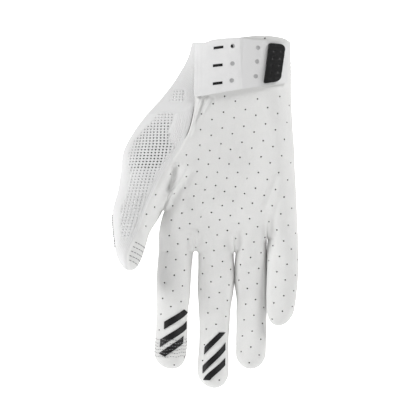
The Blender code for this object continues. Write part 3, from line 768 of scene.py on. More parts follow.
def close_up(bm):
    """Merge the blocks where they meet, and drop what collapses at the tips."""
    bmesh.ops.remove_doubles(bm, verts=bm.verts, dist=0.00002)
    bmesh.ops.dissolve_degenerate(bm, edges=bm.edges, dist=0.00001)
    bm.normal_update()


def rim_tree(bm, keep=lambda co: True):
    spots = {vert.co.copy().freeze() for edge in bm.edges if edge.is_boundary for vert in edge.verts
             if keep(vert.co)}
    spots |= {((edge.verts[0].co + edge.verts[1].co) / 2).freeze() for edge in bm.edges
              if edge.is_boundary and keep(edge.verts[0].co)}
    tree = KDTree(len(spots))
    for n, spot in enumerate(sorted(tuple(s) for s in spots)):
        tree.insert(spot, n)
    tree.balance()
    return tree


def tuck(bm, keep=lambda co: True, deep=0.0005, reach=0.0009):
    """Turn the sheet in along its seams."""
    tree = rim_tree(bm, keep)
    moves = [(vert, tree.find(vert.co)[2]) for vert in bm.verts]
    for vert, far in moves:
        vert.co -= vert.normal * deep * math.exp(-(far / reach) ** 2)


GUSSET_LINE = -PALM_LENGTH * CROTCH * GUSSET_ROW / CROTCH_ROW
PANEL_LINE = -PALM_LENGTH * CROTCH * PANEL_ROW / CROTCH_ROW


def leather_seam(co):
    """Whether an edge of the leather is a seam that shows: the thumb's piece runs on smoothly above."""
    if co.z > -0.0045:
        return False
    if co.y > 0.012 or co.z < -0.087:
        return True
    web = hand("web_line", min(-co.z / PALM_LENGTH, CROTCH))
    if co.z < PANEL_LINE + 0.0004 and abs(co.x - web) < 0.0012:
        return False
    left = hand("knit_seam", -co.z / PALM_LENGTH) + 0.001
    return not (abs(co.z - PANEL_LINE) < 0.0004 and left < co.x < web + 0.001)


def knit_seam(co):
    """Whether an edge of the knit is a seam that shows: the cuff's ribs run on from it."""
    return co.z < -0.0045 and not (abs(co.z - GUSSET_LINE) < 0.0004 and co.x < -0.0320)


def rib_layers(bm, at):
    """Layers that the ribs' shader reads: length across the ribs, and how far they show."""
    rib = bm.verts.layers.float.new("rib")
    ribbed = bm.verts.layers.float.new("ribbed")
    for vert in bm.verts:
        vert[rib], vert[ribbed] = at(vert.co)


def seam_ribs(co):
    """Ribs of the knit beside the leather's seam in front of the thumb."""
    down = -co.z / PALM_LENGTH
    if co.x > -0.02 or co.y > 0.0 or not 0.30 < down < 1.05:
        return 0.0, 0.0
    away = across(KNIT_END, min(down, 1.0)) - co.x
    return away, ease(away / 0.001) * ease((0.0110 - away) / 0.002) * ease((1.05 - down) / 0.1)


def cuff_ribs(co):
    """Ribs round the thumb's side of the wrist, counted from its silhouette."""
    down = min(max(-co.z / PALM_LENGTH, 0.0), 1.0)
    wide, deep = hand("round_thumb", down), lean("half", down)
    turned = math.atan2((co.y - lean("forward", down)) / deep,
                        (hand("thumb_edge", down) + wide - co.x) / wide)
    away = (wide + deep) / 2 * turned - (wide - deep) / 4 * math.sin(2 * turned)
    return away, 1 - 0.8 * ease((-co.z - 0.038) / 0.005) if co.y < 0.006 else 1.0


def finish_piece(bm, name, looks, wall=0.0, outwards=False, replaces=()):
    mesh = bpy.data.meshes.new(name)
    bm.normal_update()
    for face in bm.faces:
        face.smooth = True
    for edge in bm.edges:
        edge.smooth = not edge.is_boundary
    bm.to_mesh(mesh)
    bm.free()
    for look in looks:
        mesh.materials.append(look)
    piece = bpy.data.objects.new(name, mesh)
    bpy.context.scene.collection.objects.link(piece)
    if wall:
        thicken = piece.modifiers.new("wall", "SOLIDIFY")
        thicken.thickness = wall
        thicken.offset = 1.0 if outwards else -1.0
    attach(piece, "root")
    if replaces:
        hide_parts(*replaces)
    return piece


def flat_area(bm):
    return sum(face.calc_area() for face in bm.faces)


def surface_tree(bm):
    return BVHTree.FromBMesh(bm)


def round_cuts(bm, verts, offset, size_at, flat=1.0):
    """Turn each of these corners into a round face of eight corners, flat times as high as wide."""
    made = bmesh.ops.bevel(bm, geom=verts, offset=offset, affect="VERTICES", segments=1,
                           profile=0.5, material=-1, offset_type="OFFSET")
    floors = made["faces"]
    bmesh.ops.bisect_edges(bm, edges=list({edge for face in floors for edge in face.edges}), cuts=1)
    for face in floors:
        middle = face.calc_center_median()
        size = size_at(middle)
        for vert in face.verts:
            away = (vert.co - middle).normalized()
            vert.co = middle + away * size / 2 * (1 - (1 - flat) * abs(away.z))
    bm.normal_update()
    return floors


def punch(bm, spots, size, deep):
    """Round blind holes at spots of a fine sheet: the nearest corner moves there and opens."""
    tree = KDTree(len(bm.verts))
    bm.verts.ensure_lookup_table()
    bm.verts.index_update()
    for vert in bm.verts:
        tree.insert(vert.co, vert.index)
    tree.balance()
    chosen = {}
    for spot in spots:
        co, index, far = tree.find(spot)
        vert = bm.verts[index]
        if not vert.is_boundary and len(vert.link_edges) == 4 and far < 0.0011:
            chosen[index] = vert
            vert.co = spot
    floors = round_cuts(bm, list(chosen.values()), size * 0.45, lambda spot: size)
    walls = bmesh.ops.inset_individual(bm, faces=floors, thickness=size * 0.06, depth=-deep)["faces"]
    for face in floors + walls:
        face.material_index = 1


def on_bar(k, q, z):
    """Whether a spot of a finger lies on or near a grip bar."""
    if not 0 <= k < 2:
        return False
    full = PALM_LENGTH * (FINGERS[k][1] - web_down(finger_first(k)))
    share = (-z / PALM_LENGTH - web_down(finger_first(k))) * PALM_LENGTH / full
    v = (q - finger_first(k)) / FINGER_COLUMNS
    for name, v0, t0, v1, t1 in BARS:
        if name == FINGERS[k][0] and v0 - 0.08 < v < v1 + 0.08:
            if abs(share - mix(t0, t1, (v - v0) / (v1 - v0))) < 0.5 * BAR_WIDTH / full + 0.004:
                return True
    return False


HOLE_DEPTH = 0.0006
GRID = 1500.0  # steps to a metre in the rules for perforations and touch threads
# Perforations of the thumb's leather, across and up in millimetres
THUMB_HOLES = ((-56.6, -104.7), (-57.4, -112.8), (-62.9, -117.4), (-63.2, -125.3),
               (-36.2, -78.0), (-41.4, -85.5), (-46.9, -91.0))


def perforation(column, row):
    """Place across and height of a perforation: rows bend with the palm to the ninth, then run straight."""
    near, past = min(row, 9.0), max(row - 9.0, 0.0)
    x = -28.9 + 10.9 * column - near - 0.09 * near ** 2 - 0.2 * column * near - 1.6 * past
    down = (81.9 + 14.15 * near + 15.6 * past + 2.4 * (1 - column / 6) * turn(40 * near)
            + column * (-1.08 + 0.45 * near - 0.016 * near ** 2))
    return x / GRID, -down / GRID


def perforations(bm):
    """Spots of the leather's perforations: staggered columns that run from the cuff down the fingers."""
    tree = surface_tree(bm)
    rims = rim_tree(bm, leather_seam)
    spots = []
    stagger, least_gap, most_turned = 0.41, 0.0022, 0.42
    for column in range(-4, 12):
        for row in range(-3, 18):
            x, z = perforation(column, row - stagger * (column % 2))
            along = (x - STRAP_START + STRAP_LEAN * -z) / STRAP_LENGTH
            margin = 0.0022 + 0.0033 * ease((along - 0.38) / 0.12)
            if z > -STRAP_WIDTH * STRAP_EDGE.at("bottom", along) - margin:
                continue
            hit = tree.ray_cast(Vector((x, -0.2, z)), Vector((0, 1, 0)))
            if hit[0] is None or abs(hit[1].y) < most_turned or rims.find(hit[0])[2] < least_gap:
                continue
            k = min(range(4), key=lambda n: abs(x - PALM_WIDTH * girth(n, "axis", 0.6)))
            if z < -0.150 and on_bar(k, column_at(x, z, PALM, finger_first(k), finger_first(k) + 6.0), z):
                continue
            spots.append(hit[0])
    above_strap = tree.ray_cast(Vector((0.01573, -0.2, -0.0004)), Vector((0, 1, 0)))[0]
    return spots + ([above_strap] if above_strap is not None else [])


# Knit mesh: a lattice of half cells laid on the form by length across and height
MESH_PITCH = (0.0024, 0.00196)


def level_segments(z, side, parts):
    """Stretches of one height: for each, columns and lengths across from its anchor."""
    segments = []
    step = 0.25
    for q0, q1, anchor, start in parts(z):
        n = max(2, round((q1 - q0) / step))
        qs = [mix(q0, q1, i / n) for i in range(n + 1)]
        spots = [skin(q, z, side) for q in qs]
        pairs = [(q, spot) for q, spot in zip(qs, spots) if spot is not None]
        if len(pairs) < 3:
            continue
        qs = [pair[0] for pair in pairs]
        run = [0.0]
        for a, b in zip(pairs, pairs[1:]):
            run.append(run[-1] + (b[1] - a[1]).length)
        at = run_at(qs, run, anchor)
        segments.append((qs, [start + value - at for value in run]))
    return segments


def run_at(xs, ys, x):
    i = min(max(bisect.bisect_right(xs, x) - 1, 0), len(xs) - 2)
    t = (x - xs[i]) / (xs[i + 1] - xs[i])
    return mix(ys[i], ys[i + 1], min(max(t, 0.0), 1.0))


def lattice(bm, side, parts, margin, z_top, z_low, u_low, u_high, open_at):
    """Open knit between two heights. margin(z, near, far) tells whether a spot is on the mesh."""
    du, dz = MESH_PITCH[0] / 2, MESH_PITCH[1] / 2
    columns = 2 * math.ceil((u_high - u_low) / du / 2)
    rows = 2 * math.ceil((z_top - z_low) / dz / 2)
    levels = {}
    grid = {}

    def place(u, v):
        i, j = round(u * columns), round(v * rows)
        z = z_top - j * dz
        across_u = u_low + i * du
        if j not in levels:
            levels[j] = level_segments(z, side, parts)
        for qs, run in levels[j]:
            if run[0] < across_u < run[-1]:
                q = run_at(run, qs, across_u)
                spot = skin(q, z, side)
                if spot is not None and margin(spot, across_u - run[0], run[-1] - across_u, qs):
                    grid[(round(spot.x, 6), round(spot.y, 6), round(spot.z, 6))] = (i, j, q, z)
                    return spot
        return None

    verts = bent_grid(bm, (columns, rows), place)
    bridges = [edge for edge in bm.edges if edge.calc_length() > 2.4 * du]
    bmesh.ops.delete(bm, geom=bridges, context="EDGES")
    verts = [vert for vert in verts if vert.is_valid]
    if side > 0:
        flip(bm, verts)
    bm.normal_update()
    OPEN["spots"] += [vert.co.copy() for vert in verts]
    OPEN["rims"] += [vert.co.copy() for vert in verts if vert.is_boundary]
    holes = []
    for vert in verts:
        where = grid.get(tuple(round(value, 6) for value in vert.co))
        if where is None:
            continue
        i, j, q, z = where
        kind = open_at(vert.co, side)
        if i % 2 and j % 2 and not vert.is_boundary and len(vert.link_faces) == 4:
            holes.append(vert)
        if vert.is_boundary:
            rise = -0.0006
        elif kind < 3:
            rise = 0.00012 if not (i % 2 or j % 2) else -0.00004 if (i % 2 and j % 2) else 0.0
        else:
            rise = -0.00036 if i % 2 else 0.00036
        vert.co += vert.normal * rise
    return holes


# Corners and rims of the open knit, kept for the ground cloth under it
OPEN = {"spots": [], "rims": []}


def point_tree(spots):
    tree = KDTree(len(spots))
    for n, spot in enumerate(spots):
        tree.insert(spot, n)
    tree.balance()
    return tree


def hollow_out(bm, deep):
    """Lower the ground cloth under the open knit; the layer says how deep, then how much painted shade its
    colour gets.
    """
    spots, rims = point_tree(OPEN["spots"]), point_tree(OPEN["rims"])
    hollow_shade = bm.verts.layers.float.new("hollow_shade")
    bm.normal_update()
    for vert in bm.verts:
        if spots.find(vert.co)[2] < 0.0009:
            vert[hollow_shade] = ease((rims.find(vert.co)[2] - 0.0009) / 0.0009)
    for vert in bm.verts:
        vert.co -= vert.normal * deep * vert[hollow_shade]
        # the layer now holds the strength of the painted shade
        vert[hollow_shade] *= shade_at(vert.co)


def shade_at(co):
    """Strength of the painted shade on the ground cloth where it shows through the knit."""
    if co.y > 0.004 or co.x > -0.02:
        return 0.75
    down = -co.z
    return (0.45 + 0.55 * ease((down - 0.050) / 0.012)) * (1 - 0.50 * ease((down - 0.088) / 0.016)) * (
        0.62 + 0.38 * ease((co.x + 0.076) / 0.016))


HOLE_SHARES = (1.0, 0.80, 0.70, 0.58)


def hole_class(co, side):
    """Size of the knit's hole at a place: 0 wide open to 3 nearly closed."""
    if side > 0:
        return 0
    down = -co.z
    if down < 0.0555 or (co.x < -0.070 and down < 0.086):
        return 1
    if down > 0.104:
        return 3
    return 2 if down > 0.088 else 0


def open_holes(bm, holes, size_at, deep=0.0005):
    """Cut a round hole at each of these corners and turn its rim in."""
    centres = round_cuts(bm, holes, 0.0003, size_at, 0.82)
    bmesh.ops.inset_individual(bm, faces=centres, thickness=0.00004, depth=-deep)
    bmesh.ops.delete(bm, geom=centres, context="FACES_ONLY")


# Knit in front of the thumb: the line that its columns follow, and both limits of its open part
MESH_LINE = Table("down x", (
    (0.040, -0.0483), (0.070, -0.0483), (0.074, -0.0490), (0.082, -0.0503), (0.092, -0.0530),
    (0.110, -0.0575), (0.130, -0.0620), (0.155, -0.0680)))
MESH_RIGHT = Table("down x", (
    (0.0480, -0.0418), (0.0560, -0.0440), (0.0610, -0.0462), (0.0670, -0.0462), (0.0705, -0.0440),
    (0.0720, -0.0410), (0.0900, -0.0350)))
MESH_LEFT = Table("down gap", (
    (0.0480, 0.0056), (0.0580, 0.0046), (0.0650, 0.0026), (0.0750, 0.0024), (0.0850, 0.0032),
    (0.0920, 0.0046), (0.1080, 0.0048), (0.1110, 0.0042), (0.1350, 0.0036)))


def thumb_front_parts(z):
    """The knit in front of the thumb, from its silhouette to the leather; columns lean with the thumb."""
    seam = skin(KNIT_END, z, PALM)
    if seam is None:
        return []
    return [(0.0, float(KNIT_END), float(KNIT_END), seam.x - MESH_LINE.at("x", -z))]


# Lengths across the back to each digit's axis column, and the spots of the webs, found by set_axes
AXES = {19.0: 0.0}
WEB_SPACE = []
# Column where a digit parts from the back, the digit's axis column, and the height as a share of the palm
SPLITS = ((8.5, 4.0, 0.690), (15.5, 12.0, 0.945), (22.5, 26.0, 0.945), (29.5, 33.0, 0.885))


def back_parts(z):
    """Stretches of the back at a height, each with its axis column and the length across to it."""
    ends = [0.0] + [q for q, _, level in SPLITS if -z > level * PALM_LENGTH] + [float(LAST)]
    parts = []
    for q0, q1 in zip(ends, ends[1:]):
        axis = next(axis for axis in AXES if q0 < axis < q1)
        parts.append((q0, q1, axis, AXES[axis]))
    return parts


def set_axes():
    """Lengths across the back from the middle finger's axis to the others, and the spots of the webs."""
    WEB_SPACE.clear()
    for k in range(1, 4):
        between = finger_first(k) - 0.5
        WEB_SPACE.append(hand_at(between, web_down(between), BACK))
    for _, axis, level in SPLITS:
        n = round(abs(axis - 19.0) * 4)
        spots = [skin(mix(19.0, axis, i / n), -level * PALM_LENGTH, BACK) for i in range(n + 1)]
        AXES[axis] = math.copysign(sum((b - a).length for a, b in zip(spots, spots[1:])), axis - 19.0)


def front_open(spot, near, far, qs):
    """Whether a spot in front of the thumb has open knit."""
    down = -spot.z
    if down < 0.0455:
        left, right = -0.0490 + 0.25 * (0.0440 - down), -0.0365 - 0.1 * (down - 0.0330)
        return 0.0330 < down < 0.0440 and left < spot.x < right
    if down < 0.0490 or down > 0.1350:
        return False
    edge = skin(0.0, spot.z, PALM).x
    return spot.x > edge + MESH_LEFT.at("gap", down) and far > 0.0024 and spot.x < MESH_RIGHT.at("x", down)


def back_open(spot, near, far, qs):
    """Whether a spot of the back is far enough from the seams for open knit."""
    z = spot.z
    if z > -0.0075:
        return False
    left = 0.0032
    if z > -0.0535 and qs[0] < 1:
        left = level_gusset(z) + 0.0030
    return near > left and far > 0.0030 and all((spot - web).length > 0.0075 for web in WEB_SPACE)


def level_gusset(z):
    run = 0.0
    last = skin(0.0, z, BACK)
    for i in range(1, 9):
        spot = skin(GUSSET_BACK * i / 8, z, BACK)
        run += (spot - last).length
        last = spot
    return run


def stitches(bm, path, length=0.0018, gap=0.0009, thick=0.00022, rise=0.0001):
    """Short threads end to end along a path of points with normals."""
    run = [0.0]
    for (a, _), (b, _) in zip(path, path[1:]):
        run.append(run[-1] + (b - a).length)

    def at(s):
        i = min(max(bisect.bisect_right(run, s) - 1, 0), len(run) - 2)
        t = (s - run[i]) / max(run[i + 1] - run[i], 1e-9)
        return path[i][0].lerp(path[i + 1][0], t), path[i][1].lerp(path[i + 1][1], t).normalized()

    count = int(run[-1] / (length + gap))
    for n in range(count):
        s = (n + 0.5) * run[-1] / count
        (a, na), (b, nb) = at(s - length / 2), at(s + length / 2)
        along = b - a
        normal = (na + nb).normalized()
        turned = along.to_track_quat("Z", "Y").to_matrix().to_4x4()
        middle = (a + b) / 2 + normal * rise
        shape = Matrix.Translation(middle) @ turned @ Matrix.Diagonal((thick, thick, along.length / 2, 1))
        bmesh.ops.create_uvsphere(bm, u_segments=6, v_segments=4, radius=1.0, matrix=shape)


def path_on(points, side=PALM, rise=0.0):
    """Points with normals along columns and heights of the form."""
    made = []
    for q, z in points:
        spot, normal = frame_on(q, z, side)
        made.append((spot + normal * rise, normal))
    return made


def steps_between(points, side=PALM, spacing=0.0012):
    """More points along a line of (column, height) pairs."""
    made = []
    for (q0, z0), (q1, z1) in zip(points, points[1:]):
        a, b = skin(q0, z0, side), skin(q1, z1, side)
        n = max(1, round((b - a).length / spacing)) if a is not None and b is not None else 1
        made += [(mix(q0, q1, i / n), mix(z0, z1, i / n)) for i in range(n)]
    return made + [points[-1]]


def strap_place(along, over):
    x = STRAP_START + STRAP_LENGTH * along - STRAP_LEAN * STRAP_WIDTH * over
    return x, -STRAP_WIDTH * mix(STRAP_EDGE.at("top", along), STRAP_EDGE.at("bottom", along), over)


def cuff_frame(x, z):
    """Point and normal of the palm side of the cuff at a place across and down."""
    aim = z
    for _ in range(4):
        q = column_at(x, aim, PALM, KNIT_END * 0.6, LAST)
        aim = min(aim + (z - skin(q, aim, PALM).z), -1e-4)
    spot, normal = frame_on(q, aim, PALM)
    return spot, normal


def strap_frame(along, over):
    return cuff_frame(*strap_place(along, over))


def round_corners(u, v, size, corners):
    """Spread two shares over a plate so that its left and right corners come out round."""
    w, h = size
    x, y = (u - 0.5) * w, (v - 0.5) * h
    corner = corners[x > 0]
    cx, cy = w / 2 - corner, h / 2 - corner
    dx, dy = abs(x) - cx, abs(y) - cy
    if dx > 0 and dy > 0:
        most = max(dx, dy)
        pull = most / math.hypot(dx, dy)
        x, y = math.copysign(cx + dx * pull, x), math.copysign(cy + dy * pull, y)
    return x + w / 2, y + h / 2


def bar_spot(k, ends, u, v, cut=0.0):
    """Column and height on finger k for two shares of a grip bar; cut slants its upper or lower end."""
    if cut > 0:
        u *= 1 + cut * (2 * v - 1)
    if cut < 0:
        u = 1 - (1 - u) * (1 + cut * (2 * v - 1))
    full = PALM_LENGTH * (FINGERS[k][1] - web_down(finger_first(k)))
    share = mix(ends[1], ends[3], u) + (v - 0.5) * BAR_WIDTH / full
    q = finger_first(k) + FINGER_COLUMNS * mix(ends[0], ends[2], u)
    return q, -PALM_LENGTH * web_down(finger_first(k)) - share * full


def soften(piece, width, segments=2, angle=50):
    edge = piece.modifiers.new("edge", "BEVEL")
    edge.width = width
    edge.segments = segments
    edge.limit_method = "ANGLE"
    edge.angle_limit = math.radians(angle)


class GloveLooks(bpy.types.PropertyGroup):
    leather: bpy.props.FloatVectorProperty(name="Leather", description="Colour of the palm's suede",
                                           subtype="COLOR", default=(0.81, 0.81, 0.80))
    knit: bpy.props.FloatVectorProperty(name="Knit", description="Colour of the mesh and the cuff",
                                        subtype="COLOR", default=(0.81, 0.81, 0.81))
    print: bpy.props.FloatVectorProperty(name="Print", description="Colour of the grip bars and marks",
                                         subtype="COLOR", default=(0.0042, 0.0042, 0.0045))
    floor: bpy.props.FloatVectorProperty(name="Floor", description="Colour of floor and backdrop",
                                         subtype="COLOR", default=(0.95, 0.95, 0.95))


class GloveSizes(bpy.types.PropertyGroup):
    hole: bpy.props.FloatProperty(name="Perforation", description="Width of a hole in the leather",
                                  unit="LENGTH", default=0.00108)
    mesh_hole: bpy.props.FloatProperty(name="Mesh hole", description="Width of a hole in the knit",
                                       unit="LENGTH", default=0.00135)
    cell: bpy.props.FloatProperty(name="Cell", description="Row height of the fine sheets",
                                  unit="LENGTH", default=0.00095)


def looks():
    """Colours that the user can change."""
    return bpy.context.scene.glove_looks


def sizes():
    """Sizes that the user can change."""
    return bpy.context.scene.glove_sizes


class GLOVE_OT_leather(bpy.types.Operator):
    """Perforated leather of the palm, the finger fronts and the thumb's inner side"""
    bl_idname = "glove.leather"
    bl_label = "Leather"

    def execute(self, context):
        cell = sizes().cell
        colour = tuple(looks().leather)
        look = suede("palm_suede", colour)
        pit = Shader("perforation_shade", Base_Color=(0.018, 0.018, 0.019, 1.0), Roughness=0.95).material
        share = PANEL_ROW / CROTCH_ROW * CROTCH

        bm = bmesh.new()
        for q0, q1, top, low in ((KNIT_END, THUMB_END, 0.0, share), (THUMB_END, LAST, 0.0, share),
                                 (THUMB_END, LAST, share, CROTCH), (THUMB_END + 1, LAST, CROTCH, 1.0)):
            sheet_block(bm, PALM, q0, q1, top, low, cell)
        for k in range(4):
            digit_block(bm, k, PALM, finger_first(k), finger_first(k) + FINGER_COLUMNS, cell)
        close_up(bm)
        area = flat_area(bm)
        spots = perforations(bm)
        tuck(bm, leather_seam)
        punch(bm, spots, sizes().hole, HOLE_DEPTH)
        palm = finish_piece(bm, "leather_palm", [look, pit], LEATHER,
                            replaces=("palm_panel",))

        bm = bmesh.new()
        sheet_block(bm, PALM, KNIT_END, THUMB_END, share, CROTCH, cell)
        digit_block(bm, THUMB_DIGIT, PALM, KNIT_END, THUMB_END, cell)
        close_up(bm)
        area = flat_area(bm)
        tuck(bm, leather_seam)
        spots = [self.on_thumb(x / 1000, z / 1000) for x, z in THUMB_HOLES]
        punch(bm, [spot for spot in spots if spot is not None], sizes().hole, HOLE_DEPTH)
        strip = finish_piece(bm, "leather_thumb", [look, pit], LEATHER,
                             replaces=("thumb_panel",))
        return {"FINISHED"}

    def on_thumb(self, x, z):
        q = column_at(x, z, PALM, KNIT_END, THUMB_END)
        return skin(q, z, PALM) if KNIT_END + 0.1 < q < THUMB_END - 0.1 else None


class GLOVE_OT_knit(bpy.types.Operator):
    """Open knit mesh of the back and of the thumb's outer side, over its ground cloth"""
    bl_idname = "glove.knit"
    bl_label = "Knit mesh"

    def execute(self, context):
        colour = tuple(looks().knit)
        # the dark grey is painted shade for the ground seen through the open knit
        ground = knit_ground("mesh_ground", colour, (0.12, 0.12, 0.123))
        yarn = knit_yarn("mesh_yarn", colour)
        cell = 0.0013
        gusset = GUSSET_ROW / CROTCH_ROW * CROTCH

        OPEN["spots"].clear()
        OPEN["rims"].clear()
        set_axes()
        # Both lattices: name, side, stretches of a height, limits, heights, and reach across from an axis
        for name, side, parts, margin, top, low, left, right in (
                ("knit_mesh_back", BACK, back_parts, back_open, -0.0120, -0.2330, -0.110, 0.080),
                ("knit_mesh_thumb", PALM, thumb_front_parts, front_open, -0.0325, -0.1360, -0.040, 0.016)):
            bm = bmesh.new()
            holes = lattice(bm, side, parts, margin, top, low, left, right, hole_class)
            open_holes(bm, holes, lambda co: sizes().mesh_hole * HOLE_SHARES[hole_class(co, side)])
            finish_piece(bm, name, [yarn])

        bm = bmesh.new()
        for side, q0, q1, top, low in (
                (BACK, GUSSET_BACK, LAST, 0.0, gusset), (BACK, 0, GUSSET_BACK, gusset, CROTCH),
                (BACK, GUSSET_BACK, LAST, gusset, CROTCH), (PALM, 0, KNIT_END, gusset, CROTCH),
                (BACK, THUMB_END + 1, LAST, CROTCH, 1.0)):
            sheet_block(bm, side, q0, q1, top, low, cell)
        for side, q0, q1 in ((BACK, 0, GUSSET_BACK), (BACK, GUSSET_BACK, THUMB_END), (PALM, 0, KNIT_END)):
            digit_block(bm, THUMB_DIGIT, side, q0, q1, cell)
        for k in range(4):
            digit_block(bm, k, BACK, finger_first(k), finger_first(k) + FINGER_COLUMNS, cell)
        close_up(bm)
        area = flat_area(bm)
        hollow_out(bm, 0.0010)
        rib_layers(bm, seam_ribs)
        bm.normal_update()
        tuck(bm, knit_seam)
        sheet = finish_piece(bm, "knit_ground", [ground], 0.0008, replaces=("back_panel",))
        return {"FINISHED"}


class GLOVE_OT_cuff(bpy.types.Operator):
    """Ribbed stretch knit at the thumb's side of the wrist"""
    bl_idname = "glove.cuff"
    bl_label = "Cuff"

    def execute(self, context):
        gusset = GUSSET_ROW / CROTCH_ROW * CROTCH
        bm = bmesh.new()
        sheet_block(bm, PALM, 0, KNIT_END, 0.0, gusset, 0.0011)
        sheet_block(bm, BACK, 0, GUSSET_BACK, 0.0, gusset, 0.0011)
        close_up(bm)
        area = flat_area(bm)
        hollow_out(bm, 0.0009)
        rib_layers(bm, cuff_ribs)
        bm.normal_update()
        tuck(bm, knit_seam)
        # the grey is painted shade under the open knit patch
        cloth = rib_cloth("cuff_rib", tuple(looks().knit), (0.30, 0.30, 0.31))
        piece = finish_piece(bm, "cuff_ribs", [cloth], RIB_KNIT, replaces=("wrist_gusset",))
        return {"FINISHED"}


class GLOVE_OT_strap(bpy.types.Operator):
    """Wrist strap with its vents, marks and stitching, and the rubber pull tab"""
    bl_idname = "glove.strap"
    bl_label = "Strap"

    def execute(self, context):
        cloth = laminate("strap_laminate", (0.80, 0.80, 0.80))
        bm = bmesh.new()

        def place(u, v):
            spot, normal = strap_frame(u, v)
            over = 0.0003 * (1 - ease((u - 0.482) / 0.016))
            ridge = 0.0003 * sum(math.exp(-((u - at) / 0.010) ** 2) for at in (0.016, 0.052))
            return spot + normal * (PIECE_GAP + over + ridge)

        bent_grid(bm, (84, 40), place)
        area = flat_area(bm)
        strap = finish_piece(bm, "strap_band", [cloth], STRAP, True, ("wrist_strap",))
        drills = bmesh.new()
        shade_discs = bmesh.new()
        for vent in VENTS:
            spot, normal = strap_frame(*vent)
            turned = normal.to_track_quat("Z", "Y").to_matrix().to_4x4()
            at = Matrix.Translation(spot + normal * (PIECE_GAP + STRAP / 2)) @ turned
            bmesh.ops.create_cone(drills, cap_ends=True, segments=24, radius1=VENT_RADIUS,
                                  radius2=VENT_RADIUS, depth=2.6 * STRAP, matrix=at)
            # painted shade: a grey disc inside each vent stands for the shaded cloth under the strap
            under = PIECE_GAP + 0.00125 + 0.0003 * (vent[0] < 0.48)
            at = Matrix.Translation(spot + normal * under) @ turned
            bmesh.ops.create_circle(shade_discs, cap_ends=True, segments=20,
                                    radius=VENT_RADIUS - 0.00002, matrix=at)
        self.cut(strap, drills)
        soften(strap, 0.00035)
        # grey of the painted shade inside the vents
        grey = thread("vent_painted_shade", (0.55, 0.55, 0.555))
        finish_piece(shade_discs, "vent_shade_discs", [grey], 0.0003)

        bm = bmesh.new()
        spot, normal = strap_frame(VENTS[0][0] - 0.014, VENTS[0][1])
        turned = normal.to_track_quat("Z", "Y").to_matrix().to_4x4()
        at = Matrix.Translation(spot + normal * (PIECE_GAP + 0.00193)) @ turned
        bmesh.ops.create_circle(bm, cap_ends=True, segments=16, radius=0.00105, matrix=at)
        black = tuple(looks().print)
        finish_piece(bm, "vent_shade", [print_film("vent_black", black)], 0.0002)

        bm = bmesh.new()
        top = 2 * PIECE_GAP + STRAP

        def tab_place(u, v):
            a, b = round_corners(u, v, (TAB_WIDTH, TAB_LENGTH), TAB_CORNERS)
            spot, normal = strap_frame(TAB_START + (a - 0.05 * b) / STRAP_LENGTH,
                                       0.050 + b / (0.80 * STRAP_WIDTH))
            dent = (max(0.0, math.cos(math.pi * (a - 0.0032) / 0.0021))
                    * max(0.0, math.cos(2 * math.pi * b / 0.0046)))
            inner = ease((min(u, 1 - u) - 0.12) / 0.1) * ease((min(v, 1 - v) - 0.06) / 0.05)
            return spot + normal * (top - 0.0004 - 0.0006 * dent * inner)

        bent_grid(bm, (28, 64), tab_place)
        tab = finish_piece(bm, "tab_rubber", [rubber("tab_black", black)],
                           TAB + 0.0004, True, ("pull_tab",))
        soften(tab, 0.0005, 3)

        bm = bmesh.new()
        rise = PIECE_GAP + STRAP
        for over in MARKS:
            self.mark(bm, over, rise + 0.00032)
        finish_piece(bm, "strap_marks", [print_film("mark_black", black)], 0.00012, True)

        bm = bmesh.new()
        for along in (0.034, 0.070):
            path = [strap_frame(along, 0.03 + 0.94 * i / 40) for i in range(41)]
            path = [(spot + normal * rise, normal) for spot, normal in path]
            stitches(bm, path, 0.0017, 0.0010, 0.00020, 0.00003)
        finish_piece(bm, "strap_stitches", [thread("strap_thread", (0.74, 0.74, 0.74))])
        return {"FINISHED"}

    def mark(self, bm, over, rise):
        """A plain printed bar."""
        def place(u, v):
            spot, normal = strap_frame(MARK_ALONG + (u - 0.5) * MARK_SIZE[0] / STRAP_LENGTH,
                                       over + (v - 0.5) * MARK_SIZE[1] / STRAP_WIDTH)
            return spot + normal * rise

        bent_grid(bm, (6, 2), place)

    def cut(self, piece, drills):
        mesh = bpy.data.meshes.new("drill_shapes")
        drills.to_mesh(mesh)
        drills.free()
        cutter = bpy.data.objects.new("drill_shapes", mesh)
        bpy.context.scene.collection.objects.link(cutter)
        hole = piece.modifiers.new("vents", "BOOLEAN")
        hole.object = cutter
        hole.solver = "EXACT"
        depsgraph = bpy.context.evaluated_depsgraph_get()
        solid = bpy.data.meshes.new_from_object(piece.evaluated_get(depsgraph))
        piece.modifiers.clear()
        piece.data = solid
        bpy.data.objects.remove(cutter, do_unlink=True)


class GLOVE_OT_grips(bpy.types.Operator):
    """Slanted grip bars printed on the index and middle fingertips"""
    bl_idname = "glove.grips"
    bl_label = "Grip bars"

    def execute(self, context):
        film = print_film("grip_black", tuple(looks().print))
        counts = {}
        for finger, *ends in BARS:
            counts[finger] = counts.get(finger, 0) + 1
            k = [f[0] for f in FINGERS].index(finger)
            bm = bmesh.new()
            slant = {1: 0.15, 2: 0.0, 3: -0.15}[counts[finger]] * (1.35 if finger == "middle" else 1.0)

            def place(u, v):
                spot, normal = frame_on(*bar_spot(k, ends, u, v, slant))
                return spot + normal * 0.0001

            bent_grid(bm, (24, 6), place)
            name = "%s_grip_%d" % (finger, counts[finger])
            bar = finish_piece(bm, name + "_print", [film], GRIP, True, (name,))
            soften(bar, 0.00015)
        return {"FINISHED"}


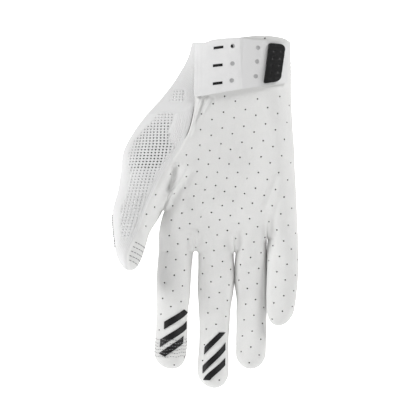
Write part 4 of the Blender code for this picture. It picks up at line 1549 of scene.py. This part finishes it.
class GLOVE_OT_threads(bpy.types.Operator):
    """Seam stitches, touch threads of thumb and index finger, and the thumb's edge piping"""
    bl_idname = "glove.threads"
    bl_label = "Threads"

    def execute(self, context):
        bm = bmesh.new()
        lines = []
        for k in range(4):
            first = finger_first(k)
            top = -PALM_LENGTH * max(FINGERS[k][2], FINGERS[k][3]) - 0.004
            end = -PALM_LENGTH * FINGERS[k][1] + 0.010
            for q in (first + 0.95, first + FINGER_COLUMNS - 0.95):
                lines.append([(q, mix(top, end, i / 6)) for i in range(7)])
        lines.append([(LAST - 1.1, z) for z in (-0.014, -0.03, -0.05, -0.07, -0.09, -0.11, -0.130)])
        lines.append([(GUSSET_BACK + 0.4, z) for z in (-0.003, -0.02, -0.035, -0.050)])
        for hem in (-0.0030, -0.0095):
            lines.append([(q, hem) for q in (4.5, 10, 15, 20, 25, 30, 35.3)])
        for line in lines:
            stitches(bm, path_on(steps_between(line, BACK), BACK))
        finish_piece(bm, "seam_stitches", [thread("seam_thread", (0.66, 0.66, 0.67))])

        bm = bmesh.new()
        first = finger_first(0)
        for down in (300.0, 303.6, 306.6, 309.8, 313.0, 316.4):
            z = -down / GRID
            spots = [(first + 0.3 + 5.2 * i / 26,
                      z - 0.0010 * math.sin(math.pi * i / 26) + 0.0004 * math.sin(i)) for i in range(27)]
            path = [(spot + normal * (0.00058 if on_bar(0, q, h) else 0.00004), normal)
                    for (q, h), (spot, normal) in zip(spots, path_on(spots))]
            stitches(bm, path, 0.0014, 0.0004, 0.00019, 0.00006)
        finish_piece(bm, "touch_threads", [thread("touch_pale", (0.26, 0.26, 0.27))])

        bm = bmesh.new()
        for n in range(5):
            z = -(203.5 + 4.4 * n) / GRID
            path = path_on([(5.25 + 2.1 * i / 14, z - 0.0042 * i / 14) for i in range(15)])
            stitches(bm, path, 0.0021, 0.0001, 0.00026, 0.00014)
        finish_piece(bm, "thumb_threads", [thread("touch_grey", (0.20, 0.20, 0.21))])

        bm = bmesh.new()
        path = path_on([(0.35, mix(-0.1175, -0.1393, i / 16)) for i in range(17)])
        stitches(bm, path, 0.0016, 0.0, 0.00042, 0.0001)
        finish_piece(bm, "thumb_piping", [thread("piping_grey", (0.16, 0.16, 0.165))])

        bm = bmesh.new()
        for z in (-0.1350, -0.1390):
            stitches(bm, path_on([(0.5, z + 0.0006), (0.5, z - 0.0006)]), 0.0010, 0.0, 0.00045, 0.0002)
        finish_piece(bm, "piping_knots", [thread("knot_grey", (0.03, 0.03, 0.031))])
        return {"FINISHED"}


class GLOVE_OT_stage(bpy.types.Operator):
    """Pale floor and backdrop, soft light and a long lens in front of the palm"""
    bl_idname = "glove.stage"
    bl_label = "Stage"

    def execute(self, context):
        scene = bpy.context.scene
        bm = bmesh.new()

        def place(u, v):
            x = mix(-3.4, 3.4, u)
            s = (1 - v) * 10.0
            if s < 6.0:
                return Vector((x, -3.6 + s, -0.32))
            if s < 7.0:
                a = (s - 6.0) * math.pi / 2
                return Vector((x, 2.4 + 0.64 * math.sin(a), -0.32 + 0.64 * (1 - math.cos(a))))
            return Vector((x, 3.04, 0.32 + (s - 7.0)))

        bent_grid(bm, (4, 60), place)
        mesh = bpy.data.meshes.new("sweep")
        bm.to_mesh(mesh)
        bm.free()
        mesh.shade_smooth()
        pale = Shader("sweep_white", Base_Color=(*looks().floor, 1.0), Roughness=0.9, Emission_Strength=1.0)
        behind = pale.axis(pale.place(), "Y").clamp(0.7, 1.1)
        pale.feed("Emission Color", pale.tint(behind, (0.25, 0.25, 0.25), (1.0, 1.0, 1.0)))
        mesh.materials.append(pale.material)
        sweep = bpy.data.objects.new("sweep", mesh)
        scene.collection.objects.link(sweep)

        world = bpy.data.worlds.new("studio")
        world.use_nodes = True
        world.node_tree.nodes["Background"].inputs["Color"].default_value = (1.0, 1.0, 1.0, 1.0)
        world.node_tree.nodes["Background"].inputs["Strength"].default_value = 0.20
        scene.world = world
        scene.view_settings.view_transform = "Standard"
        for name, at, size, power in (("key", (-1.50, -0.60, 0.80), 0.7, 19.4),
                                      ("fill", (1.40, -0.60, 1.15), 0.8, 19.2)):
            data = bpy.data.lights.new(name, "AREA")
            data.size = size
            data.energy = power
            light = bpy.data.objects.new(name, data)
            light.location = at
            aim = Vector((-0.02, 0.0, -0.11)) - Vector(at)
            light.rotation_euler = aim.to_track_quat("-Z", "Y").to_euler()
            scene.collection.objects.link(light)

        data = bpy.data.cameras.new("camera")
        away = 2.4
        data.sensor_width = 36.0
        data.lens = 36.0 * (away - 0.012) / 0.280
        data.clip_end = 20.0
        camera = bpy.data.objects.new("camera", data)
        camera.location = (-0.02067, -away, -0.11467)
        camera.rotation_euler = (math.radians(90), 0.0, 0.0)
        scene.collection.objects.link(camera)
        scene.camera = camera
        return {"FINISHED"}


class GLOVE_PT_panel(bpy.types.Panel):
    """Glove pieces"""
    bl_idname = "GLOVE_PT_panel"
    bl_label = "Motocross glove"
    bl_space_type = "VIEW_3D"
    bl_region_type = "UI"
    bl_category = "Glove"

    def draw(self, context):
        for group in (context.scene.glove_looks, context.scene.glove_sizes):
            for name in group.__annotations__:
                self.layout.prop(group, name)
        for operator in OPERATORS:
            self.layout.operator(operator.bl_idname)


OPERATORS = (GLOVE_OT_leather, GLOVE_OT_knit, GLOVE_OT_cuff, GLOVE_OT_strap, GLOVE_OT_grips,
             GLOVE_OT_threads, GLOVE_OT_stage)
CLASSES = (GloveLooks, GloveSizes) + OPERATORS + (GLOVE_PT_panel,)


def register():
    for cls in CLASSES:
        bpy.utils.register_class(cls)
    bpy.types.Scene.glove_looks = bpy.props.PointerProperty(type=GloveLooks)
    bpy.types.Scene.glove_sizes = bpy.props.PointerProperty(type=GloveSizes)


def unregister():
    del bpy.types.Scene.glove_sizes
    del bpy.types.Scene.glove_looks
    for cls in reversed(CLASSES):
        bpy.utils.unregister_class(cls)


def main():
    register()
    bpy.ops.glove.leather()
    bpy.ops.glove.knit()
    bpy.ops.glove.cuff()
    bpy.ops.glove.strap()
    bpy.ops.glove.grips()
    bpy.ops.glove.threads()
    bpy.ops.glove.stage()


if __name__ == "__main__":
    main()
